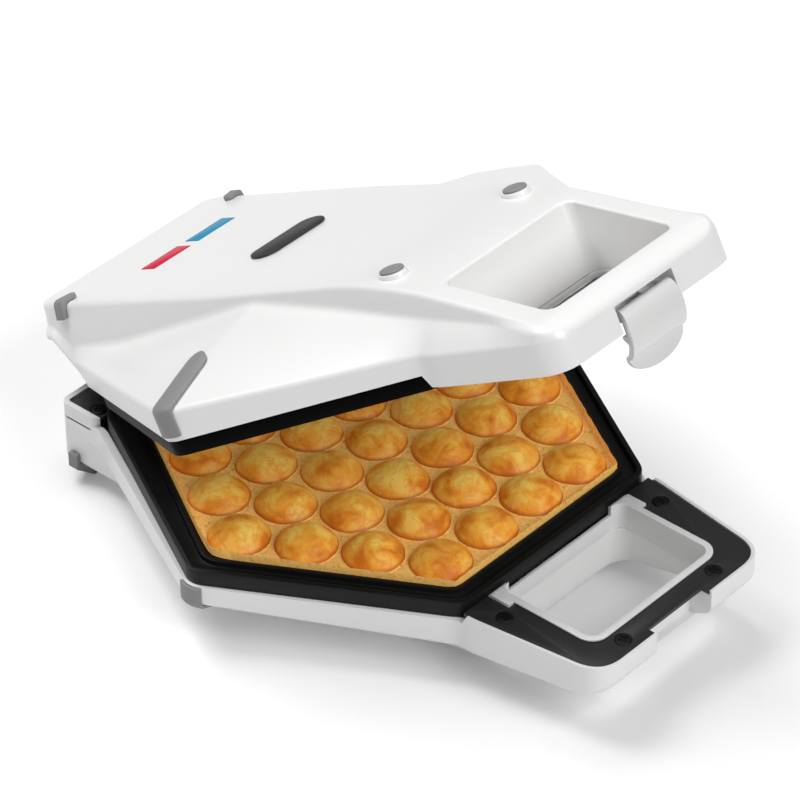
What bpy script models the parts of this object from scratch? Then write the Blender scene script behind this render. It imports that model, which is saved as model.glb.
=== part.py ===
# Bubble waffle maker: a flip-over style countertop iron with a hexagonal body,
# a two-part handle at the front and a high hinge at the back.
# Lengths are metres. X runs across, -Y is the handle side, +Z is up.
# Shapes are laid out about the waffle: its centre in plan, its flat face as height zero.
import bpy
import bmesh
import math
from mathutils import Matrix, Vector

for old_object in list(bpy.data.objects):
    bpy.data.objects.remove(old_object, do_unlink=True)

# Waffle pattern and cooking plates
BUBBLE_PITCH = 0.028
BUBBLE_RADIUS = 0.0132
BUBBLES_PER_SIDE = 4
WEB_DEPTH = 0.004
LOWER_WELL_DEPTH = 0.0085
UPPER_WELL_HEIGHT = 0.0078
PAN_APOTHEM = 0.0887
PAN_CORNER_RADIUS = 0.008
PLATE_WALL = 0.0015
WEB_THICKNESS = 0.0025
RIM_TOP = 0.001
RIM_REAR_REACH = 0.1005
RIM_REAR_TUCK = 0.0045
RIM_CORNER_RADIUS = 0.010
INNER_RIDGE_WIDTH = 0.0023
OUTER_RIDGE_WIDTH = 0.0025
GUTTER_DEPTH = 0.0026
PRESS_GAP = 0.0005
SKIRT_DROP = 0.0025
SKIRT_WALL = 0.0011
LID_PLATE_TOP = 0.0040
LID_PLATE_REAR_SPREAD = 0.0018
LID_PLATE_REAR_STEP = 0.0035

# Shared body plan
BODY_APOTHEM = 0.1005
BODY_SIDE_REACH = 0.1160
BASE_SIDE_STEP = 0.0010
LID_PLATE_INSET = 0.0005
RIM_FRONT_INSET = 0.0020
RIM_SIDE_INSET = 0.0013
BODY_CORNER_RADIUS = 0.010
HANDLE_REACH = 0.0650
HANDLE_NECK_HALF = 0.0598
HANDLE_NOSE_HALF = 0.0528
HANDLE_CORNER_RADIUS = 0.011
NECK_STEP = 0.0012
OVERRUN = 0.065
MERGE_DISTANCE = 0.000001
SHELL_WALL = 0.0025
FIT_GAP = 0.0003

# Crown, cove and edge heights, the same for both halves
CROWN_HEIGHT = 0.0386
CROWN_FRONT_HALF = 0.0482
CROWN_HOOD_INSET = 0.0033
NOSE_CROWN_HEIGHT = 0.01578
CROWN_TAPER_START = 0.030
CROWN_TAPER_END = -0.050
CROWN_FALL_START = -0.045
CROWN_FALL_END = -0.107
CROWN_EDGE_RADIUS = 0.0025
COVE_DRAFT_SHARE = 0.2
COVE_RADIUS = 0.0025
COVE_HIP_DROP = 0.0044
COVE_REAR_DROP = 0.0221
COVE_NECK_DROP = 0.0154
COVE_NOSE_HEIGHT = 0.0160
NOSE_RADIUS = 0.008
NOSE_ROUND_SHARE = 0.9
EDGE_RADIUS = 0.003
FACET_BULGE_SHARE = 0.04

# Lid shell
LID_EDGE_HIP = 0.0175
LID_EDGE_REAR = 0.0143
LID_EDGE_NECK = 0.0122
LID_RIM_HEIGHT = 0.0043
LID_REAR_CORNER_RADIUS = 0.011
LID_REAR_INSET = 0.0040
LID_HOOD_INSET = 0.0085
LID_SIDE_SHORT = 0.0036
HOOD_REACH = 0.0164
HOOD_LIP_LEAD = 0.0078
HOOD_LIP_LENGTH = 0.0182
HOOD_LIP_DROP = 0.0142
LID_REAR_TOP_RADIUS = 0.003

# Base shell
BASE_EDGE_HIP = 0.0160
BASE_EDGE_REAR = 0.0195
BASE_EDGE_NECK = 0.0200
BASE_EDGE_NOSE = 0.0168
BASE_RIM_DEPTH = 0.0068
BOX_HALF = 0.065
BOX_LENGTH = 0.0221
BOX_OVERLAP = 0.0215
BOX_RISE = 0.0076
BOX_TOP_DEPTH = 0.0022
BOX_CORNER_RADIUS = 0.004
BOX_TUCK = 0.0002
REAR_COVER_DEPTH = 0.0028
REAR_COVER_THICKNESS = 0.0018

# Handle parting plane, covers and openings
SPLIT_HEIGHT = -0.0014
SPLIT_HALF_GAP = 0.0002
LIP_THICKNESS = 0.0007
COVER_THICKNESS = 0.0018
COVER_MARGIN = 0.0017
HANDLE_WALL_DEPTH = 0.0010
COVER_FRONT_MARGIN = 0.0013
OPENING_HALF = 0.0372
OPENING_FRONT = -0.1490
OPENING_REAR = -0.1005
OPENING_CORNER_RADIUS = 0.005
LOWER_GRIP_RADIUS = 0.008
LINER_WALL = 0.0016
LINER_LIP_WIDTH = 0.0030
LINER_DEPTH = 0.0126
EAR_HALF = 0.0433
EAR_FRONT = -0.1100
PLATE_FRONT_CLEARANCE = 0.0004

# Feet, pads, guards
FOOT_HEIGHT = 0.0025
PAD_X = 0.037
PAD_Y = -0.072
PAD_HALF_LENGTH = 0.0049
PAD_HALF_WIDTH = 0.0054
PEDESTAL_MARGIN = 0.0009
PEDESTAL_PROUD = 0.0014
LID_PEDESTAL_PROUD = 0.0002
PEDESTAL_ROOT_DEPTH = 0.0046
GUARD_HALF_WIDTH = 0.0053
GUARD_LENGTH = 0.0312
GUARD_THICKNESS = 0.0012
GUARD_BOTTOM = 0.0062
WRAP_HALF_WIDTH = 0.0025
WRAP_THICKNESS = 0.0020
WRAP_ANGLE = math.radians(14.0)
WRAP_INSET = 0.0100
WRAP_FRONT_STEP = 0.0051
WRAP_DROP = 0.0061
REAR_FOOT_LENGTH = 0.005
REAR_FOOT_SETBACK = 0.0106
REAR_FOOT_RISE = 0.005
REAR_FOOT_WIDTH = 0.0112

# Hinge
REST_OPENING = math.radians(27.4)
HINGE_SETBACK = 0.0040
HINGE_DROP = 0.0133
PIN_RADIUS = 0.0025
PIN_HEAD_RADIUS = 0.0042
PIN_HEAD_LENGTH = 0.0015
PIN_CLEARANCE = 0.0002
ARM_WIDTH = 0.005
ARM_INSET = 0.0250
ARM_FRONT_SETBACK = 0.0160
ARM_REAR_SETBACK = 0.0046
ARM_EYE_RADIUS = 0.006
BRACKET_WIDTH = 0.003
BRACKET_EYE_RADIUS = 0.0055
ARM_KNEE_HEIGHT = 0.010
ARM_FOOT_WIDTH = 0.011
ARM_FOOT_THICKNESS = 0.002

# Latch
NOTCH_HALF = 0.0172
NOTCH_DEPTH = 0.011
NOTCH_LOWER_DEPTH = 0.0176
LID_NOTCH_HEIGHT = 0.010
LATCH_HALF = 0.0160
LATCH_PIVOT_INSET = 0.0065
LATCH_PIVOT_HEIGHT = 0.0045
LATCH_PIN_RADIUS = 0.0012
LATCH_TOP = 0.0075
LATCH_CREASE_DEPTH = 0.0134
LATCH_BOTTOM_DEPTH = 0.0214
LATCH_WALL = 0.0022
LATCH_BULGE = 0.0021
LATCH_LIP_SETBACK = 0.0027
LATCH_LIP_THICKNESS = 0.0018
LATCH_BOSS_RADIUS = 0.0026
LATCH_EAR_WIDTH = 0.003
TOOTH_REACH = 0.0015
TOOTH_TIP = 0.0012
TOOTH_HEIGHT = 0.0058
TOOTH_HALF = 0.0130
COVER_NOTCH_INSET = 0.0050
SPRING_WIRE_RADIUS = 0.0004
SPRING_COIL_RADIUS = 0.0020
SPRING_TURNS = 4
SPRING_HALF_LENGTH = 0.0040
SPRING_ARM_LENGTH = 0.0045

# Lid top: indicator lenses and badge
LENS_HALF_DEPTH = 0.0045
LENS_SETBACK = 0.0264
RED_LENS_START = -0.0220
RED_LENS_END = 0.0002
BLUE_LENS_START = 0.0050
BLUE_LENS_END = 0.0276
LENS_PROUD = 0.0004
LENS_DEPTH = 0.0034
LAMP_RADIUS = 0.0026
LAMP_END_MARGIN = 0.003
BADGE_X = 0.0015
BADGE_Y = 0.0325
BADGE_HALF_LENGTH = 0.0198
BADGE_HALF_DEPTH = 0.0070
BADGE_THICKNESS = 0.0008

# Heating and wiring inside
ELEMENT_RADIUS = 0.0032
ELEMENT_LOOP_RADIUS = 0.056
ELEMENT_END_X = 0.012
ELEMENT_END_Y = 0.074
SHIELD_APOTHEM = 0.0625
SHIELD_SHEET = 0.0008
SHIELD_REAR_NOTCH_HALF = 0.020
THERMOSTAT_RADIUS = 0.008
THERMOSTAT_HEIGHT = 0.0060
FUSE_RADIUS = 0.0021
FUSE_HALF_LENGTH = 0.0065
TERMINAL_HALF = 0.015
TERMINAL_SETBACK = 0.0096
TERMINAL_LENGTH = 0.0110
TERMINAL_HEIGHT = 0.012
LEAD_RADIUS = 0.0013
LEAD_END_X = 0.008
INLET_RADIUS = 0.0062
INLET_BORE_RADIUS = 0.0036
INLET_FLANGE_RADIUS = 0.0085
INLET_FLANGE_THICKNESS = 0.002
INLET_REACH = 0.004
INLET_DEPTH = 0.019

# Screws
SCREW_HEAD_RADIUS = 0.0034
SCREW_HEAD_HEIGHT = 0.0010
SCREW_SHANK_RADIUS = 0.0014
SCREW_LENGTH = 0.009
SCREW_SLOT_SHARE = 0.7
SCREW_SLOT_WIDTH_SHARE = 0.22
NOSE_SCREW_X = 0.0286
NOSE_SCREW_Y = -0.1572
NECK_SCREW_X = 0.0492
NECK_SCREW_Y = -0.1128
SCREW_CLEARANCE = 0.0002
REAR_SCREW_INSET = 0.0072
REAR_SCREW_SETBACK = 0.0164
BOSS_RADIUS = 0.0032
BOSS_ROOT_SHARE = 0.4
NECK_ROOT_SHARE = 0.3

# Derived sizes
SLANT = 2.0 / math.sqrt(3.0)
LID_PLATE_APOTHEM = BODY_APOTHEM - LID_PLATE_INSET
LID_PLATE_SIDE_REACH = BODY_SIDE_REACH - LID_PLATE_INSET
BASE_SIDE_REACH = BODY_SIDE_REACH - BASE_SIDE_STEP
RIM_APOTHEM = BODY_APOTHEM - RIM_FRONT_INSET
RIM_SIDE_REACH = BASE_SIDE_REACH - RIM_SIDE_INSET
BOX_RIM_FRONT = RIM_REAR_REACH + FIT_GAP
BOX_REAR = RIM_REAR_REACH + BOX_LENGTH
BOX_FRONT = RIM_REAR_REACH - BOX_OVERLAP
BOX_DEPTH = CROWN_HEIGHT - BOX_RISE
RIM_REAR_HALF = BOX_HALF - RIM_REAR_TUCK
LID_PLATE_REAR_HALF = BOX_HALF + LID_PLATE_REAR_SPREAD
LID_PLATE_REAR_REACH = RIM_REAR_REACH + LID_PLATE_REAR_STEP
LID_REAR_HALF = BOX_HALF - LID_REAR_INSET
LID_HOOD_HALF = BOX_HALF - LID_HOOD_INSET
LID_REAR_SIDE_END = BOX_REAR - LID_SIDE_SHORT
HINGE_Y = BOX_REAR + HINGE_SETBACK
HINGE_HEIGHT = CROWN_HEIGHT - HINGE_DROP
LID_REAR_REACH = HINGE_Y + HOOD_REACH
HOOD_LIP_START = BOX_REAR - HOOD_LIP_LEAD
HOOD_LIP_END = HOOD_LIP_START + HOOD_LIP_LENGTH
HOOD_LIP_HEIGHT = CROWN_HEIGHT - HOOD_LIP_DROP
CROWN_REAR_HALF = LID_HOOD_HALF - CROWN_HOOD_INSET
COVE_HIP_HEIGHT = CROWN_HEIGHT - COVE_HIP_DROP
COVE_REAR_HEIGHT = CROWN_HEIGHT - COVE_REAR_DROP
COVE_NECK_HEIGHT = CROWN_HEIGHT - COVE_NECK_DROP
PEDESTAL_HEIGHT = CROWN_HEIGHT + PEDESTAL_PROUD
LID_PEDESTAL_HEIGHT = CROWN_HEIGHT + LID_PEDESTAL_PROUD
PAD_THICKNESS = FOOT_HEIGHT - PEDESTAL_PROUD - FIT_GAP
PEDESTAL_ROOT = CROWN_HEIGHT - PEDESTAL_ROOT_DEPTH
GUARD_INNER_X = BODY_SIDE_REACH - GUARD_LENGTH
WRAP_X = LID_HOOD_HALF - WRAP_INSET
WRAP_Y = HINGE_Y - WRAP_FRONT_STEP
WRAP_BOTTOM = CROWN_HEIGHT - WRAP_DROP
REAR_FOOT_FRONT = BOX_REAR - REAR_FOOT_SETBACK
REAR_FOOT_TOP_DEPTH = BOX_DEPTH - REAR_FOOT_RISE
REAR_FOOT_INNER_X = CROWN_REAR_HALF - REAR_FOOT_WIDTH
ARM_X = BOX_HALF - ARM_INSET
ARM_FOOT_FRONT = BOX_REAR - ARM_FRONT_SETBACK
ARM_FOOT_REAR = BOX_REAR - ARM_REAR_SETBACK
REAR_SCREW_X = BOX_HALF - REAR_SCREW_INSET
REAR_SCREW_Y = BOX_REAR - REAR_SCREW_SETBACK
TERMINAL_REAR = BOX_REAR - TERMINAL_SETBACK
TERMINAL_FRONT = TERMINAL_REAR - TERMINAL_LENGTH
LENS_Y = HINGE_Y - LENS_SETBACK
NECK_Y = -BODY_APOTHEM
NOSE_Y = NECK_Y - HANDLE_REACH
CROWN_FALL_SPAN = CROWN_FALL_START - CROWN_FALL_END
CROWN_FALL_RUN = CROWN_FALL_SPAN / 2.0 + CROWN_FALL_END - NOSE_Y
CROWN_FALL_SHARE = (CROWN_HEIGHT - NOSE_CROWN_HEIGHT) / CROWN_FALL_RUN
PLATE_FLOOR = -WEB_DEPTH
PLATE_UNDERSIDE = -WEB_DEPTH - WEB_THICKNESS

# Standing place: the lowest foot touches height zero, and the whole is centred in plan
STAND_HEIGHT = CROWN_HEIGHT + FOOT_HEIGHT
LID_REAR_ROUND_SHARE = 0.76
RAISED_REAR_Y = (HINGE_Y + (LID_REAR_REACH - HINGE_Y) * math.cos(REST_OPENING)
                 + (CROWN_HEIGHT - LID_REAR_TOP_RADIUS * LID_REAR_ROUND_SHARE - HINGE_HEIGHT)
                 * math.sin(REST_OPENING))
PLATE_CENTRE_Y = -(NOSE_Y + RAISED_REAR_Y) / 2.0
PLACE = Vector((0.0, PLATE_CENTRE_Y, STAND_HEIGHT))


def tint(name, recipe):
    """Surface of one piece from (colour, metallic, roughness, coat, transmission)."""
    colour, metallic, roughness, coat, transmission = recipe
    surface = bpy.data.materials.new(name)
    surface.use_nodes = True
    shader = surface.node_tree.nodes["Principled BSDF"]
    shader.inputs["Base Color"].default_value = (*colour, 1.0)
    shader.inputs["Metallic"].default_value = metallic
    shader.inputs["Roughness"].default_value = roughness
    shader.inputs["Coat Weight"].default_value = coat
    shader.inputs["Transmission Weight"].default_value = transmission
    surface.diffuse_color = (*colour, 1.0)
    return surface


WHITE_PLASTIC = ((0.80, 0.79, 0.77), 0.0, 0.28, 0.3, 0.0)
GREY_RUBBER = ((0.35, 0.35, 0.35), 0.0, 0.60, 0.0, 0.0)
LEVER_PLASTIC = ((0.72, 0.72, 0.715), 0.0, 0.34, 0.0, 0.0)
BLACK_PLASTIC = ((0.025, 0.025, 0.026), 0.0, 0.42, 0.0, 0.0)
COATED_METAL = ((0.018, 0.018, 0.019), 0.2, 0.38, 0.0, 0.0)
STEEL = ((0.62, 0.62, 0.63), 1.0, 0.30, 0.0, 0.0)
RED_LENS = ((0.68, 0.03, 0.07), 0.0, 0.15, 0.5, 0.2)
BLUE_LENS = ((0.04, 0.33, 0.61), 0.0, 0.15, 0.5, 0.2)
BADGE_METAL = ((0.06, 0.06, 0.065), 0.3, 0.35, 0.0, 0.0)
LEAD_SLEEVE = ((0.55, 0.12, 0.08), 0.0, 0.50, 0.0, 0.0)
CERAMIC = ((0.75, 0.72, 0.62), 0.0, 0.50, 0.0, 0.0)


def add_mesh(name, shape):
    """Turn a bmesh into a scene object."""
    bmesh.ops.recalc_face_normals(shape, faces=shape.faces)
    data = bpy.data.meshes.new(name)
    shape.to_mesh(data)
    shape.free()
    item = bpy.data.objects.new(name, data)
    bpy.context.scene.collection.objects.link(item)
    return item


def loft(name, rings):
    """Skin a run of equal point rings and close both ends."""
    shape = bmesh.new()
    rows = [[shape.verts.new(point) for point in ring] for ring in rings]
    count = len(rings[0])
    for near, far in zip(rows, rows[1:]):
        for index in range(count):
            after = (index + 1) % count
            shape.faces.new((near[index], near[after], far[after], far[index]))
    shape.faces.new(rows[0])
    shape.faces.new(rows[-1])
    return add_mesh(name, shape)


def prism(name, outline, low, high):
    """Raise a plan outline from one height to another."""
    return loft(name, [[(x, y, z) for x, y in outline] for z in (low, high)])


def side_prism(name, outline, left, right):
    """Sweep an outline of (y, z) points across X."""
    return loft(name, [[(x, y, z) for y, z in outline] for x in (left, right)])


def depth_prism(name, outline, front, rear):
    """Sweep an outline of (x, z) points along Y."""
    return loft(name, [[(x, y, z) for x, z in outline] for y in (front, rear)])


def box(name, left, right, front, rear, low, high):
    """Plain block between six planes."""
    return prism(name, [(left, front), (right, front), (right, rear), (left, rear)], low, high)


def disc_points(centre, radius, count, start=0.0):
    """Points round a circle, anticlockwise."""
    turn = 2.0 * math.pi / count
    return [(centre[0] + radius * math.cos(start + turn * step),
             centre[1] + radius * math.sin(start + turn * step)) for step in range(count)]


def settle(item):
    """Apply the modifiers of an object to its mesh."""
    graph = bpy.context.evaluated_depsgraph_get()
    graph.update()
    finished = bpy.data.meshes.new_from_object(item.evaluated_get(graph))
    item.modifiers.clear()
    item.data = finished


def combine(item, tool, operation):
    """Boolean one object with another and use the second up."""
    change = item.modifiers.new(operation, "BOOLEAN")
    change.operation = operation
    change.solver = "EXACT"
    change.object = tool
    settle(item)
    bpy.data.objects.remove(tool, do_unlink=True)
    return item


def cut(item, tool):
    return combine(item, tool, "DIFFERENCE")


def join(item, tool):
    return combine(item, tool, "UNION")


def clip(item, tool):
    return combine(item, tool, "INTERSECT")


def rounded(corners, radius, steps=3):
    """Replace each corner of a polygon by an arc."""
    points = []
    count = len(corners)
    for index, corner in enumerate(corners):
        here = Vector(corner)
        back = (Vector(corners[index - 1]) - here).normalized()
        on = (Vector(corners[(index + 1) % count]) - here).normalized()
        half = back.angle(on) / 2.0
        reach = radius / math.tan(half)
        centre = here + (back + on).normalized() * (radius / math.sin(half))
        first = here + back * reach - centre
        last = here + on * reach - centre
        sweep = first.angle_signed(last)
        for step in range(steps + 1):
            turned = first.copy()
            turned.rotate(Matrix.Rotation(-sweep * step / steps, 2))
            points.append(tuple(centre + turned))
    return points


def hexagon(apothem, side, rear_half, rear, radius, grow=0.0):
    """Six-sided plan with a longer rear half; grow moves every side out."""
    front = apothem + grow
    front_half = (apothem + grow) / math.sqrt(3.0)
    corners = [(-front_half, -front), (front_half, -front), (side + grow * SLANT, 0.0),
               (rear_half + grow / math.sqrt(3.0), rear + grow),
               (-rear_half - grow / math.sqrt(3.0), rear + grow), (-side - grow * SLANT, 0.0)]
    return rounded(corners, radius + grow)


def pan_outline(grow=0.0):
    """Regular hexagon of the cooking area."""
    half = PAN_APOTHEM / math.sqrt(3.0)
    return hexagon(PAN_APOTHEM, PAN_APOTHEM * SLANT, half, PAN_APOTHEM, PAN_CORNER_RADIUS, grow)


def rim_outline(grow=0.0):
    """Outer edge of the lower plate."""
    return hexagon(RIM_APOTHEM, RIM_SIDE_REACH, RIM_REAR_HALF, RIM_REAR_REACH,
                   RIM_CORNER_RADIUS, grow)


def lid_plate_outline(grow=0.0):
    """Outer edge of the upper plate."""
    return hexagon(LID_PLATE_APOTHEM, LID_PLATE_SIDE_REACH, LID_PLATE_REAR_HALF,
                   LID_PLATE_REAR_REACH, RIM_CORNER_RADIUS, grow)


def bubble_centres():
    """Hexagonal layout of bubbles, rows across X."""
    rows = BUBBLES_PER_SIDE - 1
    places = []
    for row in range(-rows, rows + 1):
        count = 2 * BUBBLES_PER_SIDE - 1 - abs(row)
        for column in range(count):
            x = (column - (count - 1) / 2.0) * BUBBLE_PITCH
            places.append((x, row * BUBBLE_PITCH * math.sqrt(3.0) / 2.0))
    return places


def bubble_field(name, face, tip, grow, start, sides):
    """Round caps at every bubble, from the height start to past the tip by grow."""
    toward = math.copysign(1.0, tip - face)
    depth = abs(tip - face)
    ball = (BUBBLE_RADIUS ** 2 + depth ** 2) / (2.0 * depth)
    middle = tip - toward * ball
    outer = ball + grow
    straight = start if (start - middle) * toward > 0.0 else face
    opening = math.acos(abs(straight - middle) / outer)
    shape = bmesh.new()
    for x, y in bubble_centres():
        rows = []
        levels = [opening, opening * 0.55]
        if straight != start:
            rows.append([shape.verts.new((px, py, start)) for px, py in
                         disc_points((x, y), outer * math.sin(opening), sides)])
        for angle in levels:
            rows.append([shape.verts.new((px, py, middle + toward * outer * math.cos(angle)))
                         for px, py in disc_points((x, y), outer * math.sin(angle), sides)])
        pole = shape.verts.new((x, y, middle + toward * outer))
        shape.faces.new(rows[0])
        for near, far in zip(rows, rows[1:]):
            for index in range(sides):
                after = (index + 1) % sides
                shape.faces.new((near[index], near[after], far[after], far[index]))
        for index in range(sides):
            shape.faces.new((rows[-1][index], rows[-1][(index + 1) % sides], pole))
    return add_mesh(name, shape)


def steps_between(stops, y):
    """Piecewise straight value along Y from (y, value) stops."""
    if y <= stops[0][0]:
        return stops[0][1]
    for (y0, v0), (y1, v1) in zip(stops, stops[1:]):
        if y <= y1:
            return v0 + (v1 - v0) * (y - y0) / (y1 - y0)
    return stops[-1][1]


def half_width(outline, y):
    """Largest X of a plan outline at a given Y, held just inside its ends."""
    depths = [point[1] for point in outline]
    y = min(max(y, min(depths) + MERGE_DISTANCE * 0.1), max(depths) - MERGE_DISTANCE * 0.1)
    best = 0.0
    for (x0, y0), (x1, y1) in zip(outline, outline[1:] + outline[:1]):
        if min(y0, y1) <= y <= max(y0, y1) and y0 != y1:
            best = max(best, x0 + (x1 - x0) * (y - y0) / (y1 - y0))
    return best


def mirrored(chain):
    """Close a right-hand chain of points with its mirror image."""
    return [(x, y) for x, y in chain] + [(-x, y) for x, y in reversed(chain)]


def round_chain(chain, radii):
    """Round the inner corners of a right-hand chain that starts and ends on X zero."""
    points = [chain[0]]
    for index in range(1, len(chain) - 1):
        here = Vector(chain[index])
        back = (Vector(chain[index - 1]) - here).normalized()
        on = (Vector(chain[index + 1]) - here).normalized()
        radius = radii[index - 1]
        half = back.angle(on) / 2.0
        if radius == 0.0:
            points.append(tuple(here))
            continue
        reach = radius / math.tan(half)
        centre = here + (back + on).normalized() * (radius / math.sin(half))
        first = here + back * reach - centre
        last = here + on * reach - centre
        sweep = first.angle_signed(last)
        for step in range(5):
            turned = first.copy()
            turned.rotate(Matrix.Rotation(-sweep * step / 4.0, 2))
            points.append(tuple(centre + turned))
    points.append(chain[-1])
    return points


def lid_plan():
    """Plan outline of the lid shell, right half."""
    chain = [(0.0, NOSE_Y), (HANDLE_NOSE_HALF, NOSE_Y),
             (HANDLE_NECK_HALF, NECK_Y - NECK_STEP * 3.0), (HANDLE_NECK_HALF, NECK_Y + NECK_STEP * 3.0),
             (BODY_SIDE_REACH, 0.0), (LID_REAR_HALF, LID_REAR_SIDE_END),
             (LID_HOOD_HALF, LID_REAR_REACH), (0.0, LID_REAR_REACH)]
    return round_chain(chain, [HANDLE_CORNER_RADIUS, 0.0, 0.0, BODY_CORNER_RADIUS,
                               0.0, LID_REAR_CORNER_RADIUS])


def base_plan():
    """Plan outline of the base shell, right half."""
    inner_box = BOX_HALF - BOX_TUCK
    slope = (BODY_SIDE_REACH - inner_box) / BOX_RIM_FRONT
    chain = [(0.0, NOSE_Y), (HANDLE_NOSE_HALF, NOSE_Y),
             (HANDLE_NECK_HALF, NECK_Y - NECK_STEP * 3.0), (HANDLE_NECK_HALF, NECK_Y + NECK_STEP * 3.0),
             (BASE_SIDE_REACH, 0.0), (inner_box, BOX_RIM_FRONT),
             (inner_box, BOX_REAR - BOX_TUCK), (0.0, BOX_REAR - BOX_TUCK)]
    return round_chain(chain, [HANDLE_CORNER_RADIUS, 0.0, 0.0, BODY_CORNER_RADIUS,
                               0.0, BOX_CORNER_RADIUS])


def crown_height(y, rear_end, rear_radius):
    """Height of the flat top along Y, with its fall to the handle nose."""
    if y >= CROWN_FALL_START:
        height = CROWN_HEIGHT
    elif y >= CROWN_FALL_END:
        height = CROWN_HEIGHT - CROWN_FALL_SHARE * (CROWN_FALL_START - y) ** 2 / (2.0 * CROWN_FALL_SPAN)
    else:
        height = CROWN_HEIGHT - CROWN_FALL_SHARE * (CROWN_FALL_SPAN / 2.0 + CROWN_FALL_END - y)
    from_nose = y - NOSE_Y
    if from_nose < NOSE_RADIUS:
        drop = 1.0 - math.sqrt(1.0 - (1.0 - from_nose / NOSE_RADIUS) ** 2)
        height -= NOSE_RADIUS * NOSE_ROUND_SHARE * drop
    from_rear = rear_end - y
    if from_rear < rear_radius:
        height -= rear_radius - math.sqrt(rear_radius ** 2 - (rear_radius - from_rear) ** 2)
    return height


def section(form, y, inset):
    """Right half of a body section, from the top centre down to the open rim."""
    wide = half_width(form["plan"], y)
    edge_x = wide - inset * SLANT
    crown = crown_height(y, form["rear"], form["rear_radius"]) - inset
    rim = steps_between(form["rim"], y)
    edge = steps_between(form["edge"], y) - inset
    cove = steps_between(form["cove"], y) - inset
    crown_x = steps_between([(CROWN_TAPER_END, CROWN_FRONT_HALF),
                             (CROWN_TAPER_START, CROWN_REAR_HALF)], y) - inset
    crown_x = min(crown_x, edge_x - EDGE_RADIUS - CROWN_EDGE_RADIUS * 0.6)
    edge = max(min(edge, crown - EDGE_RADIUS), rim + EDGE_RADIUS * 0.5)
    cove = max(cove, edge + (crown - edge) * 0.25)
    cove = min(cove, crown - CROWN_EDGE_RADIUS * 1.3)
    foot_x = min(crown_x + COVE_DRAFT_SHARE * (crown - cove), edge_x - EDGE_RADIUS * 0.9)
    reach = edge_x - EDGE_RADIUS - foot_x
    soft = min(COVE_RADIUS, reach * 0.4) if reach > 0.0 else EDGE_RADIUS * 0.1
    fall = (cove - edge) * soft / max(reach, soft)
    bulge = max(reach, 0.0) * FACET_BULGE_SHARE
    middle_x = foot_x + soft + max(edge_x - EDGE_RADIUS - foot_x - soft, soft * 0.2) * 0.5
    far_x = max(edge_x - EDGE_RADIUS, middle_x + soft * 0.1)
    middle_z = (cove - fall + edge + EDGE_RADIUS * 0.35) / 2.0 + bulge
    side_share = min((COVE_RADIUS * 0.8) / max(crown - CROWN_EDGE_RADIUS - cove, COVE_RADIUS), 0.8)
    wall_x = foot_x + (crown_x - foot_x) * side_share
    wall_z = cove + (crown - CROWN_EDGE_RADIUS - cove) * side_share
    return [(0.0, crown),
            (crown_x - CROWN_EDGE_RADIUS, crown),
            (crown_x - CROWN_EDGE_RADIUS * 0.3, crown - CROWN_EDGE_RADIUS * 0.3),
            (crown_x, crown - CROWN_EDGE_RADIUS),
            (wall_x, wall_z),
            (foot_x + soft * 0.35, cove + (wall_z - cove) * 0.15 - fall * 0.1),
            (foot_x + soft, cove - fall),
            (middle_x, middle_z),
            (far_x, edge + EDGE_RADIUS * 0.35),
            (max(edge_x - EDGE_RADIUS * 0.3, far_x + soft * 0.05), edge - EDGE_RADIUS * 0.35),
            (edge_x, edge - EDGE_RADIUS)]


def body_solid(name, form, inset, open_rim):
    """Solid bounded by the body surface; open_rim carries it on past the rim."""
    front = NOSE_Y + inset
    rear = form["rear"] - inset
    stops = [front + (NOSE_RADIUS - inset * 0.5) * (1.0 - math.cos(math.radians(angle)))
             for angle in (0.0, 25.0, 55.0, 90.0)]
    stops += [NOSE_Y + HANDLE_REACH * 0.55, NECK_Y - NECK_STEP * 3.0, NECK_Y - NECK_STEP,
              NECK_Y + NECK_STEP, NECK_Y * 0.78, NECK_Y * 0.48, NECK_Y * 0.06, 0.0, -NECK_Y * 0.06]
    stops += [form["side_end"] * share for share in (0.35, 0.7, 0.92, 1.0)]
    if open_rim == 0.0:
        stops += [NECK_Y * 0.9, NECK_Y * 0.63, NECK_Y * 0.25, form["side_end"] * 0.15]
    stops += [y for y in form["rear_stops"]]
    stops += [rear - form["rear_radius"] * share for share in (2.5, 1.0, 0.5, 0.15)] + [rear]
    stops = sorted(y for y in stops if front <= y <= rear)
    tidy = [stops[0]]
    for y in stops[1:]:
        if y - tidy[-1] > FIT_GAP:
            tidy.append(y)
    tidy[-1] = rear
    rings = []
    for y in tidy:
        sampled = min(max(y, NOSE_Y), form["rear"])
        half = section(form, sampled, inset)
        rim = steps_between(form["rim"], y)
        floor = -open_rim if open_rim > 0.0 else rim
        end = min(floor, half[-1][1] - FIT_GAP)
        half = half + [(half[-1][0], end), (0.0, end)]
        left = [(-x, z) for x, z in reversed(half[1:-1])]
        rings.append([(x, y, z * form["side"]) for x, z in half + left])
    return loft(name, rings)


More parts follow.
